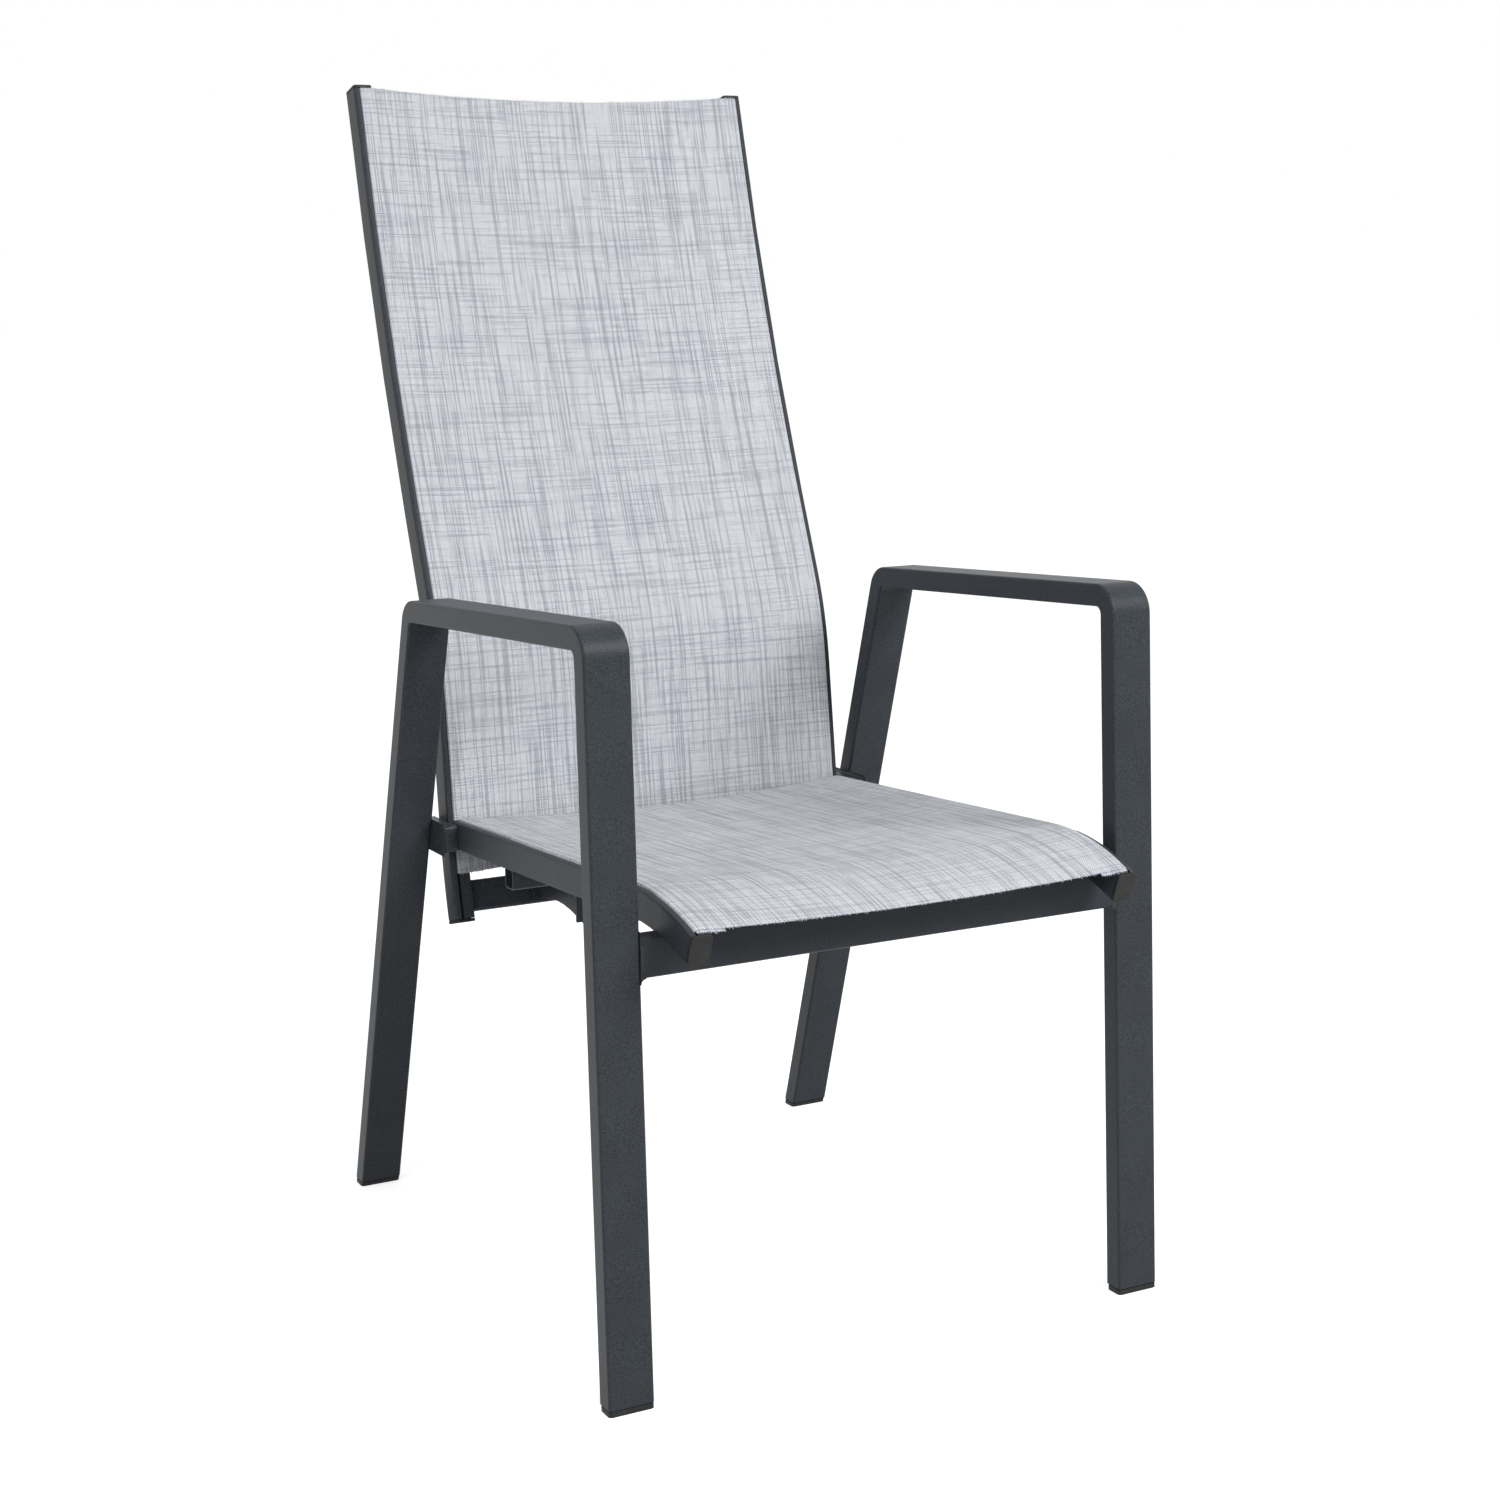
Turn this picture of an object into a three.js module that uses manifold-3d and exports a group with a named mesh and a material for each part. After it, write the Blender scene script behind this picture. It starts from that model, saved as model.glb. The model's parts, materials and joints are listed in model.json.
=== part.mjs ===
// A sling patio chair: two bent-tube side frames carry a sling seat and a high sling back that reclines
// on two pivots at the rear legs and is held by a ratchet under the seat.
// Lengths are millimetres, angles degrees. +Z is up, the chair faces -Y, and left and right are as seen
// from its front. Heights are above the floor, and depths run back from the front legs.

import * as THREE from "three";
import { mergeVertices } from "three/addons/utils/BufferGeometryUtils.js";
import Module from "manifold-3d";

const wasm = await Module();
wasm.setup();

// Side frames
const overallWidth = 562;
const tubeWidth = 40;
const tubeDepth = 20;
const tubeWall = 1.5;
const tubeCorner = 3;
const tubeBendRadius = 18;
const armHeight = 674;
const armSlopeAngle = 2.5;
const frontLegLeanAngle = 1;
const rearLegRakeAngle = 19.1;
const footSpacing = 656;

// Front crossbar
const crossbarHeight = 33;
const crossbarDepth = 20;
const crossbarBelowSeat = 66;
const crossbarSetback = 6;

// Sling rails, one extrusion for the seat and the back
const railWidth = 20;
const railDepth = 29;
const railWall = 1.5;
const railCorner = 3;
const railToLeg = 15.5;
const kederInset = 6.5;
const kederBoreRadius = 3;
const kederRodRadius = 2;
const kederSlot = 2.6;

// Seat
const seatTopHeight = 440;
const seatTopDepth = 158;
const seatSlopeAngle = 2.8;
const seatEndAhead = 28;
const waterfallStart = 42;
const waterfallRadius = 188;
const waterfallAngle = 33;
const seatSag = 9;

// Back
const pivotBelowSeat = 33;
const pivotAheadOfLeg = 5.65;
const backBelowPivot = 89;
const backFootAngle = 15;
const footBendLength = 97;
const footBendAngle = 9.2;
const lumbarLength = 134;
const reclineBendLength = 96;
const reclineBendAngle = 15.7;
const shoulderLength = 90;
const headLength = 458.5;
const headBendAngle = 8.2;
const backSag = 12;
const backSlingLift = 52;
const slingThickness = 1.2;
const slingFrontSetback = 10;

// Spreaders and the recline ratchet
const spreaderBehindSector = 18.7;
const seatSpreaderSize = 20;
const backCrossbarHeight = 32;
const backCrossbarDepth = 18;
const backCrossbarLift = 11;
const upperSpreaderAboveSeat = 500;
const upperSpreaderWidth = 25;
const upperSpreaderThickness = 12;
const upperSpreaderBow = 26;
const reclineRange = 20;
const reclinePositions = 5;
const latchRadius = 133.5;
const latchAngle = 20;
const latchTravel = 12;
const latchRodRadius = 5;
const latchHubShare = 1.4;
const pawlReach = 22;
const pawlThickness = 4;
const pawlPlaneShare = 0.5645;
const bracketOffset = 15;
const bracketThickness = 3;
const flangeWidth = 11;
const webRise = 9;
const webDrop = 34;
const webNose = 14;
const webNoseCut = 3;
const webDip = 8;
const gripWidth = 66;
const sectorToLatch = 7.8;
const sectorDepth = 22;
const sectorThickness = 4;
const sectorSteps = 8;
const notchDepth = 6;
const notchMouthShare = 0.852;
const notchRootShare = 0.608;
const toothTip = 4;
const toothBase = 5.6;
const springWireRadius = 0.8;
const springTurns = 4;

// Fasteners and fits
const gap = 0.3;
const boreClearance = 0.3;
const overrun = 40;
const pivotBoltRadius = 4;
const pivotBushWall = 2;
const pivotHeadRadius = 7.5;
const pivotHeadHeight = 5;
const bushFlangeRadius = 9.5;
const bushFlange = 2.4;
const seatBoltRadius = 3;
const seatHeadRadius = 5.5;
const seatHeadHeight = 3.4;
const tabBoltRadius = 2;
const tabHeadRadius = 3.6;
const tabHeadHeight = 2.6;
const tabThickness = 3;
const tabWidth = 17;
const plugFlange = 5;
const plugInsert = 20;
const plugWall = 2.5;
const capThickness = 3.2;
const capInsert = 8;
const pivotBlockDepth = 63;
const pivotBlockHeight = 27;
const pivotBlockCorner = 4;
const pivotBlockAhead = 42;
const seatBoltAhead = 36;

// Facet counts
const cornerSteps = 2;
const bendSteps = 7;
const roundSides = 20;
const boltSides = 16;
const nutSides = 6;
const kederSides = 8;
const boreSteps = 8;
const slingSpans = 10;
const bowSteps = 10;
const webSteps = 6;
const springSides = 5;
const springSteps = 8;
const degreesPerStep = 3;

const radians = THREE.MathUtils.degToRad;
const legInnerFace = overallWidth / 2 - tubeWidth;
const railOuterFace = legInnerFace - railToLeg;
const railInnerFace = railOuterFace - railWidth;
const railCentre = railOuterFace - railWidth / 2;
const crossbarBottom = seatTopHeight - crossbarBelowSeat;
const pivotHeight = seatTopHeight - pivotBelowSeat;
const rearLegStart = footSpacing + tubeDepth / 2 / Math.cos(radians(rearLegRakeAngle));
const pivotDepth = rearLegStart - pivotHeight * Math.tan(radians(rearLegRakeAngle)) - pivotAheadOfLeg;
const seatRearEnd = pivotDepth - seatEndAhead;
const sectorInnerRadius = latchRadius + sectorToLatch;
const spreaderRear = pivotDepth - sectorInnerRadius - spreaderBehindSector;
const seatSpreaderDepth = spreaderRear - seatSpreaderSize / 2;
const pawlPlane = pawlPlaneShare * railInnerFace;
const bracketPlane = pawlPlane + bracketOffset;

const powderCoat = new THREE.MeshStandardMaterial({ color: 0x3b3c40, roughness: 0.55, metalness: 0.35 });
const plastic = new THREE.MeshStandardMaterial({ color: 0x1c1c1e, roughness: 0.6, metalness: 0 });
const slingFabric = new THREE.MeshStandardMaterial({ color: 0xc9c9cd, roughness: 0.85, metalness: 0 });
const kederPlastic = new THREE.MeshStandardMaterial({ color: 0x8a8a8c, roughness: 0.5, metalness: 0 });
const zincSteel = new THREE.MeshStandardMaterial({ color: 0x9a9a98, roughness: 0.35, metalness: 0.9 });

const chair = new THREE.Group();
const hands = [
  ["left", -1],
  ["right", 1],
];

// Solids

function toSolid(geometry) {
  const bare = geometry.clone();
  bare.deleteAttribute("normal");
  bare.deleteAttribute("uv");
  const merged = mergeVertices(bare, 1e-4);
  const triVerts = new Uint32Array(merged.index.array);
  const vertProperties = new Float32Array(merged.attributes.position.array);
  const made = new wasm.Manifold(new wasm.Mesh({ numProp: 3, vertProperties, triVerts }));
  if (made.volume() > 0) return made;
  for (let i = 0; i < triVerts.length; i += 3) triVerts.subarray(i, i + 2).reverse();
  return new wasm.Manifold(new wasm.Mesh({ numProp: 3, vertProperties, triVerts }));
}

function toGeometry(solid) {
  const mesh = solid.getMesh();
  const count = mesh.numProp;
  const positions = new Float32Array(mesh.numVert * 3);
  for (let i = 0; i < mesh.numVert; i++) {
    positions.set(mesh.vertProperties.subarray(i * count, i * count + 3), i * 3);
  }
  const geometry = new THREE.BufferGeometry();
  geometry.setAttribute("position", new THREE.BufferAttribute(positions, 3));
  geometry.setIndex(new THREE.BufferAttribute(new Uint32Array(mesh.triVerts), 1));
  geometry.computeVertexNormals();
  return geometry;
}

function join(...geometries) {
  return toGeometry(geometries.map(toSolid).reduce((all, next) => all.add(next)));
}

function cut(geometry, ...tools) {
  return toGeometry(tools.map(toSolid).reduce((rest, tool) => rest.subtract(tool), toSolid(geometry)));
}

function place(name, geometry, material) {
  const mesh = new THREE.Mesh(geometry, material.clone());
  mesh.name = name;
  chair.add(mesh);
}

// A block between two corners.
function block(low, high) {
  const size = high.map((value, i) => value - low[i]);
  const geometry = new THREE.BoxGeometry(...size);
  return geometry.translate(...high.map((value, i) => (value + low[i]) / 2));
}

// A block seen from one side: its X runs from near to far, measured outwards on that side.
function sideBlock(side, near, far, low, high) {
  const ends = [side * near, side * far].sort((a, b) => a - b);
  return block([ends[0], ...low], [ends[1], ...high]);
}

// A round bar along X from near to far on one side, at a depth and a height.
function crossRod(radius, from, to, depth, height, sides = roundSides) {
  const rod = new THREE.CylinderGeometry(radius, radius, Math.abs(to - from), sides);
  return rod.rotateZ(Math.PI / 2).translate((from + to) / 2, depth, height);
}

// A round bar along Y.
function depthRod(radius, from, to, across, height, sides = roundSides) {
  const rod = new THREE.CylinderGeometry(radius, radius, Math.abs(to - from), sides);
  return rod.translate(across, (from + to) / 2, height);
}

// A plate whose outline is drawn as depth and height, centred on a plane of constant X.
function uprightPlate(outline, thickness, across) {
  const shape = new THREE.Shape(outline);
  const geometry = new THREE.ExtrudeGeometry(shape, { depth: thickness, bevelEnabled: false });
  geometry.translate(0, 0, -thickness / 2);
  const basis = new THREE.Matrix4().makeBasis(
    new THREE.Vector3(0, 1, 0),
    new THREE.Vector3(0, 0, 1),
    new THREE.Vector3(1, 0, 0),
  );
  return geometry.applyMatrix4(basis).translate(across, 0, 0);
}

// Section outlines, drawn about the centre of the section

function roundedOutline(width, depth, radius, steps = cornerSteps) {
  const points = [];
  const corners = [
    [1, -1, -90],
    [1, 1, 0],
    [-1, 1, 90],
    [-1, -1, 180],
  ];
  for (const [right, up, start] of corners) {
    const x = right * (width / 2 - radius);
    const y = up * (depth / 2 - radius);
    for (let i = 0; i <= steps; i++) {
      const angle = radians(start + (90 * i) / steps);
      points.push(new THREE.Vector2(x + radius * Math.cos(angle), y + radius * Math.sin(angle)));
    }
  }
  return points;
}

function tubeSection(width, depth, wall, corner) {
  const shape = new THREE.Shape(roundedOutline(width, depth, corner));
  const inner = roundedOutline(width - 2 * wall, depth - 2 * wall, corner - wall, 1);
  shape.holes.push(new THREE.Path(inner));
  return shape;
}

function roundSection(radius, sides) {
  const points = [];
  for (let i = 0; i < sides; i++) {
    const angle = (2 * Math.PI * i) / sides;
    points.push(new THREE.Vector2(radius * Math.cos(angle), radius * Math.sin(angle)));
  }
  return new THREE.Shape(points);
}

// The sling rail: a rounded box with a keder bore that opens through a slot in its sling face, and a
// chamber beside it. The section's X points outwards on the given side, and its sling face is on the
// side of +Y where up is 1 and of -Y where it is -1.
const kederCentre = railWidth / 2 - kederInset;
const kederDepth = railDepth / 2 - railWall - kederBoreRadius;
const chamberStep = kederDepth - kederBoreRadius - railWall;
const chamberShoulder = kederCentre - kederBoreRadius - railWall;

// An outline mirrored across or up, in the order that keeps it anticlockwise.
function mirrored(points, across, up = 1) {
  const turned = points.map((point) => new THREE.Vector2(across * point.x, up * point.y));
  return across * up < 0 ? turned.reverse() : turned;
}

function railSection(side, up) {
  const outline = roundedOutline(railWidth, railDepth, railCorner);
  const halfSlot = kederSlot / 2;
  const slotAngle = Math.asin(halfSlot / kederBoreRadius);
  const bore = [new THREE.Vector2(kederCentre + halfSlot, railDepth / 2)];
  for (let i = 0; i <= boreSteps; i++) {
    const angle = Math.PI / 2 - slotAngle - (i / boreSteps) * 2 * (Math.PI - slotAngle);
    bore.push(
      new THREE.Vector2(
        kederCentre + kederBoreRadius * Math.cos(angle),
        kederDepth + kederBoreRadius * Math.sin(angle),
      ),
    );
  }
  bore.push(new THREE.Vector2(kederCentre - halfSlot, railDepth / 2));
  const topRight = 2 * (cornerSteps + 1);
  outline.splice(topRight, 0, ...bore);
  const half = railWidth / 2 - railWall;
  const chamber = [
    new THREE.Vector2(-half, railWall - railDepth / 2),
    new THREE.Vector2(half, railWall - railDepth / 2),
    new THREE.Vector2(half, chamberStep),
    new THREE.Vector2(chamberShoulder, chamberStep),
    new THREE.Vector2(chamberShoulder, railDepth / 2 - railWall),
    new THREE.Vector2(-half, railDepth / 2 - railWall),
  ];
  const shape = new THREE.Shape(mirrored(outline, side, up));
  shape.holes.push(new THREE.Path(mirrored(chamber, side, up)));
  return shape;
}

// Paths

// A centre line given by its stations, each with the two axes that its section lies on.
class FramedPath extends THREE.Curve {
  constructor(points, tangents, normals) {
    super();
    this.points = points;
    this.tangents = tangents;
    this.normals = normals;
    this.binormals = tangents.map((tangent, i) => new THREE.Vector3().crossVectors(tangent, normals[i]));
  }

  get steps() {
    return this.points.length - 1;
  }

  getPoint(t) {
    return this.points[Math.round(t * this.steps)].clone();
  }

  getSpacedPoints() {
    return this.points;
  }

  computeFrenetFrames() {
    return this;
  }
}

// A line in the plane of depth and height. Its heading is 0 straight up and 90 straight back. Each run
// is a straight, or an arc when it has a turn.
function uprightPath(across, depth, height, heading, runs) {
  const points = [];
  const tangents = [];
  let at = new THREE.Vector3(across, depth, height);
  let angle = heading;
  const tangentAt = (degrees) => new THREE.Vector3(0, Math.sin(radians(degrees)), Math.cos(radians(degrees)));
  const mark = () => {
    points.push(at.clone());
    tangents.push(tangentAt(angle));
  };
  mark();
  for (const { length, turn } of runs) {
    const steps = turn ? Math.min(2 * bendSteps, Math.ceil(Math.abs(turn) / degreesPerStep)) : 1;
    for (let i = 0; i < steps; i++) {
      const step = turn / steps;
      const chord = turn ? (length / steps) * (Math.sin(radians(step / 2)) / radians(step / 2)) : length;
      at = at.clone().addScaledVector(tangentAt(angle + step / 2), chord);
      angle += step;
      mark();
    }
  }
  const normals = points.map(() => new THREE.Vector3(1, 0, 0));
  return new FramedPath(points, tangents, normals);
}

function sweep(shape, path) {
  return new THREE.ExtrudeGeometry(shape, { steps: path.steps, bevelEnabled: false, extrudePath: path });
}

// A path's points moved along its own binormals.
function offsetPoints(path, distance) {
  return path.points.map((point, i) => point.clone().addScaledVector(path.binormals[i], distance));
}

// Side frames: front leg, armrest and raked rear leg bent from one tube

// Where two lines in the plane of depth and height cross. Each is a point and a heading.
function crossing([depthA, heightA, headingA], [depthB, heightB, headingB]) {
  const a = [Math.sin(radians(headingA)), Math.cos(radians(headingA))];
  const b = [Math.sin(radians(headingB)), Math.cos(radians(headingB))];
  const along =
    ((depthB - depthA) * b[1] - (heightB - heightA) * b[0]) / (a[0] * b[1] - a[1] * b[0]);
  return [depthA + along * a[0], heightA + along * a[1]];
}

const armHeading = 90 + armSlopeAngle;
const rearHeading = 180 - rearLegRakeAngle;
const frontLine = [tubeDepth / 2 / Math.cos(radians(frontLegLeanAngle)), 0, frontLegLeanAngle];
const armLine = [0, armHeight - tubeDepth / 2 / Math.cos(radians(armSlopeAngle)), armHeading];
const rearLine = [rearLegStart, 0, rearHeading];

function sideFrame(side) {
  const frontCorner = crossing(frontLine, armLine);
  const rearCorner = crossing(armLine, rearLine);
  const frontTurn = armHeading - frontLegLeanAngle;
  const rearTurn = rearHeading - armHeading;
  const frontTrim = tubeBendRadius * Math.tan(radians(frontTurn / 2));
  const rearTrim = tubeBendRadius * Math.tan(radians(rearTurn / 2));
  const frontLength = Math.hypot(frontCorner[0] - frontLine[0], frontCorner[1]);
  const armLength = Math.hypot(rearCorner[0] - frontCorner[0], rearCorner[1] - frontCorner[1]);
  const rearLength = Math.hypot(rearCorner[0] - rearLine[0], rearCorner[1]);
  const below = overrun / Math.cos(radians(frontLegLeanAngle));
  const start = frontLine[0] - overrun * Math.tan(radians(frontLegLeanAngle));
  const path = uprightPath(side * (legInnerFace + tubeWidth / 2), start, -overrun, frontLegLeanAngle, [
    { length: frontLength + below - frontTrim, turn: 0 },
    { length: tubeBendRadius * radians(frontTurn), turn: frontTurn },
    { length: armLength - frontTrim - rearTrim, turn: 0 },
    { length: tubeBendRadius * radians(rearTurn), turn: rearTurn },
    { length: rearLength + overrun - rearTrim, turn: 0 },
  ]);
  const tube = sweep(tubeSection(tubeWidth, tubeDepth, tubeWall, tubeCorner), path);
  return cut(tube, belowFloor(plugFlange + gap));
}

function belowFloor(height) {
  const reach = overallWidth + footSpacing;
  return block([-reach, -reach, -2 * overrun], [reach, reach, height]);
}

function above(height) {
  const reach = overallWidth + footSpacing;
  return block([-reach, -reach, height], [reach, reach, height + 4 * overrun]);
}

// A foot plug: a flange under the tube's end and a hollow shank inside it.
function footPlug(side, [depth], heading) {
  const lean = Math.tan(radians(heading));
  const start = depth - overrun * lean;
  const length = (2 * overrun) / Math.cos(radians(heading));
  const across = side * (legInnerFace + tubeWidth / 2);
  const path = uprightPath(across, start, -overrun, heading, [{ length, turn: 0 }]);
  const flange = sweep(new THREE.Shape(roundedOutline(tubeWidth, tubeDepth, tubeCorner)), path);
  const shankWidth = tubeWidth - 2 * (tubeWall + boreClearance);
  const shankDepth = tubeDepth - 2 * (tubeWall + boreClearance);
  const shankOutline = roundedOutline(shankWidth, shankDepth, tubeCorner - tubeWall, 1);
  const shank = sweep(new THREE.Shape(shankOutline), path);
  const hollow = sweep(
    new THREE.Shape(roundedOutline(shankWidth - 2 * plugWall, shankDepth - 2 * plugWall, tubeWall / 2, 1)),
    path,
  );
  const body = cut(flange, belowFloor(0), above(plugFlange));
  const top = cut(shank, belowFloor(plugFlange / 2), above(plugInsert));
  return cut(join(body, top), cut(hollow, belowFloor(plugFlange)));
}

for (const [hand, side] of hands) {
  place(`side_frame_${hand}`, sideFrame(side), powderCoat);
  place(`foot_plug_front_${hand}`, footPlug(side, frontLine, frontLegLeanAngle), plastic);
  place(`foot_plug_rear_${hand}`, footPlug(side, rearLine, -rearLegRakeAngle), plastic);
}

// Seat rails

const seatHeading = seatSlopeAngle - 90;
const seatLine = [
  seatTopDepth,
  seatTopHeight - railDepth / 2 / Math.cos(radians(seatSlopeAngle)),
];

// The height of the seat rail's centre line on its straight stretch.
function seatLineHeight(depth) {
  return seatLine[1] - (depth - seatLine[0]) * Math.tan(radians(seatSlopeAngle));
}

function seatPath(across) {
  return uprightPath(across, seatRearEnd, seatLineHeight(seatRearEnd), seatHeading, [
    { length: (seatRearEnd - waterfallStart) / Math.cos(radians(seatSlopeAngle)), turn: 0 },
    { length: radians(waterfallAngle) * waterfallRadius, turn: -waterfallAngle },
  ]);
}

// Back rails

const backRuns = [
  { length: footBendLength, turn: -footBendAngle },
  { length: lumbarLength, turn: 0 },
  { length: reclineBendLength, turn: reclineBendAngle },
  { length: shoulderLength, turn: 0 },
  { length: headLength, turn: -headBendAngle },
];

function backPath(across) {
  const start = pivotDepth - backFootOffset();
  return uprightPath(across, start, pivotHeight - backBelowPivot, backFootAngle, backRuns);
}

// How far the rail's lower end lies ahead of the pivot.
function backFootOffset() {
  const { points } = uprightPath(0, 0, -backBelowPivot, backFootAngle, backRuns);
  const i = points.findIndex((point) => point.z >= 0);
  const low = points[i - 1];
  const high = points[i];
  return low.y - ((high.y - low.y) * low.z) / (high.z - low.z);
}

// The two rails' end caps: a plate over the end and a tongue in the chamber.
function endCap(side, point, tangent) {
  const normal = new THREE.Vector3(1, 0, 0);
  const out = tangent.clone();
  const seat = point.clone().addScaledVector(out, gap);
  const line = (from, to) =>
    new FramedPath(
      [seat.clone().addScaledVector(out, from), seat.clone().addScaledVector(out, to)],
      [out, out],
      [normal, normal],
    );
  const plateOutline = roundedOutline(railWidth, railDepth, railCorner);
  const plate = sweep(new THREE.Shape(plateOutline), line(0, capThickness));
  const flip = Math.sign(new THREE.Vector3().crossVectors(out, normal).dot(slingSide(point, out)));
  const half = railWidth / 2 - railWall - boreClearance;
  const low = railWall + boreClearance - railDepth / 2;
  const high = chamberStep - boreClearance;
  const tongueOutline = [
    [-half, low],
    [half, low],
    [half, high],
    [-half, high],
  ].map(([x, y]) => new THREE.Vector2(side * x, flip * y));
  const tongue = sweep(new THREE.Shape(tongueOutline), line(-capInsert, capThickness / 2));
  return join(plate, tongue);
}

// Which way the sling lies at an end of a rail: up on the seat, forwards on the back.
function slingSide(point, out) {
  const up = new THREE.Vector3(0, 0, 1);
  const forwards = new THREE.Vector3(0, -1, 0);
  return Math.abs(out.y) > Math.abs(out.z) ? up : forwards;
}

const seatBoltDepth = pivotDepth - seatBoltAhead;
const seatBoltHeight = seatLineHeight(seatBoltDepth);
const lugDepth = crossbarSetback + crossbarDepth / 2;
const crossbarTop = crossbarBottom + crossbarHeight;

// The height of the seat rail's underside over the front crossbar.
function undersideAt(path, depth) {
  const lower = offsetPoints(path, -railDepth / 2);
  for (let i = 1; i < lower.length; i++) {
    if (lower[i].y <= depth) {
      const share = (depth - lower[i].y) / (lower[i - 1].y - lower[i].y);
      return lower[i].z + share * (lower[i - 1].z - lower[i].z);
    }
  }
  return lower[0].z;
}

const tabBoltHeight = crossbarTop + (undersideAt(seatPath(0), lugDepth) - crossbarTop) / 2;

function seatRail(side) {
  const path = seatPath(side * railCentre);
  const rail = sweep(railSection(side, 1), path);
  const lugFoot = crossbarTop + 2 * gap;
  const inner = railCentre - tabWidth / 2;
  const lug = sideBlock(
    side,
    inner,
    inner + tabWidth,
    [lugDepth + gap / 2, lugFoot],
    [lugDepth + gap / 2 + tabThickness, undersideAt(path, lugDepth) + railWall / 2],
  );
  const lugBore = depthRod(
    tabBoltRadius + boreClearance,
    lugDepth - overrun / 2,
    lugDepth + overrun / 2,
    side * railCentre,
    tabBoltHeight,
  );
  return cut(join(rail, lug), seatBoltBore(side), lugBore);
}

function backRail(side) {
  const path = backPath(side * railCentre);
  const rail = sweep(railSection(side, -1), path);
  const bore = crossRod(
    pivotBoltRadius + pivotBushWall + boreClearance,
    side * (railInnerFace - overrun),
    side * (railOuterFace + overrun),
    pivotDepth,
    pivotHeight,
  );
  return cut(rail, bore);
}

function capsFor(name, hand, side, path) {
  const last = path.steps;
  const first = path.tangents[0].clone().negate();
  place(`${name}_${hand}`, endCap(side, path.points[last], path.tangents[last]), plastic);
  return endCap(side, path.points[0], first);
}

// The seat rail's rear bolt passes through the tongue of its end cap.
function seatBoltBore(side) {
  return crossRod(
    seatBoltRadius + boreClearance,
    side * (railInnerFace - overrun),
    side * (legInnerFace + overrun),
    seatBoltDepth,
    seatBoltHeight,
  );
}

for (const [hand, side] of hands) {
  const seat = seatPath(side * railCentre);
  const back = backPath(side * railCentre);
  place(`seat_rail_${hand}`, seatRail(side), powderCoat);
  const rearCap = cut(capsFor("seat_cap_front", hand, side, seat), seatBoltBore(side));
  place(`seat_cap_rear_${hand}`, rearCap, plastic);
  place(`back_rail_${hand}`, backRail(side), powderCoat);
  place(`back_cap_lower_${hand}`, capsFor("back_cap_upper", hand, side, back), plastic);
}

// Slings, each a sheet in the rails' slots, and the keder rods in the bores

// A sheet between two rails. Its face lies on the rails, it sags between them, and its edges turn
// down into the slots. sideSign is 1 where the path's binormal points to the sling.
function slingSheet(path, sideSign, sag) {
  const edge = railCentre + kederCentre;
  const half = slingThickness / 2;
  const lip = railWall + boreClearance;
  const profile = (lift, spread) => {
    const row = [
      [-edge - spread, -lip],
      [-edge - spread, lift],
    ];
    for (let i = 0; i <= slingSpans; i++) {
      const share = (2 * i) / slingSpans - 1;
      row.push([share * railInnerFace, lift - sag * (1 - share * share)]);
    }
    row.push([edge + spread, lift], [edge + spread, -lip]);
    return row;
  };
  const rows = [profile(gap + slingThickness, half), profile(gap, -half)];
  const stations = path.points.map((point, i) => {
    const out = path.binormals[i].clone().multiplyScalar(sideSign);
    const face = point.clone().addScaledVector(out, railDepth / 2);
    return rows.map((row) =>
      row.map(([across, lift]) => new THREE.Vector3(across, 0, 0).add(face).addScaledVector(out, lift)),
    );
  });
  return sheetSolid(stations);
}

// A closed solid from stations that each hold an upper and a lower row of points.
function sheetSolid(stations) {
  const count = stations[0][0].length;
  const loopLength = 2 * count;
  const positions = stations.flatMap(([upper, lower]) => [...upper, ...lower.slice().reverse()]);
  const index = [];
  const quad = (a, b, c, d) => index.push(a, b, c, a, c, d);
  for (let s = 0; s + 1 < stations.length; s++) {
    const here = s * loopLength;
    const next = here + loopLength;
    for (let i = 0; i < loopLength; i++) {
      const j = (i + 1) % loopLength;
      quad(here + i, here + j, next + j, next + i);
    }
  }
  for (const [base, forward] of [
    [0, false],
    [(stations.length - 1) * loopLength, true],
  ]) {
    for (let i = 0; i + 1 < count; i++) {
      const corners = [i, i + 1, loopLength - 2 - i, loopLength - 1 - i].map((corner) => base + corner);
      if (forward) quad(...corners);
      else quad(...corners.reverse());
    }
  }
  const geometry = new THREE.BufferGeometry();
  geometry.setAttribute(
    "position",
    new THREE.Float32BufferAttribute(positions.flatMap((point) => point.toArray()), 3),
  );
  geometry.setIndex(index);
  return toGeometry(toSolid(geometry));
}

// A path shortened at its two ends, with a station put in where each cut falls.
function trimmed(path, fromStart, fromEnd) {
  const lengths = [0];
  for (let i = 1; i < path.points.length; i++) {
    lengths.push(lengths[i - 1] + path.points[i].distanceTo(path.points[i - 1]));
  }
  const total = lengths[path.steps];
  const at = (distance) => {
    const i = Math.max(1, lengths.findIndex((length) => length >= distance));
    const share = (distance - lengths[i - 1]) / (lengths[i] - lengths[i - 1]);
    return [
      path.points[i - 1].clone().lerp(path.points[i], share),
      path.tangents[i - 1].clone().lerp(path.tangents[i], share).normalize(),
    ];
  };
  const inside = (i) => lengths[i] > fromStart + gap && lengths[i] < total - fromEnd - gap;
  const kept = path.points.map((point, i) => i).filter(inside);
  const ends = [at(fromStart), at(total - fromEnd)];
  const points = [ends[0][0], ...kept.map((i) => path.points[i]), ends[1][0]];
  const tangents = [ends[0][1], ...kept.map((i) => path.tangents[i]), ends[1][1]];
  return new FramedPath(points, tangents, points.map(() => new THREE.Vector3(1, 0, 0)));
}

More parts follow.
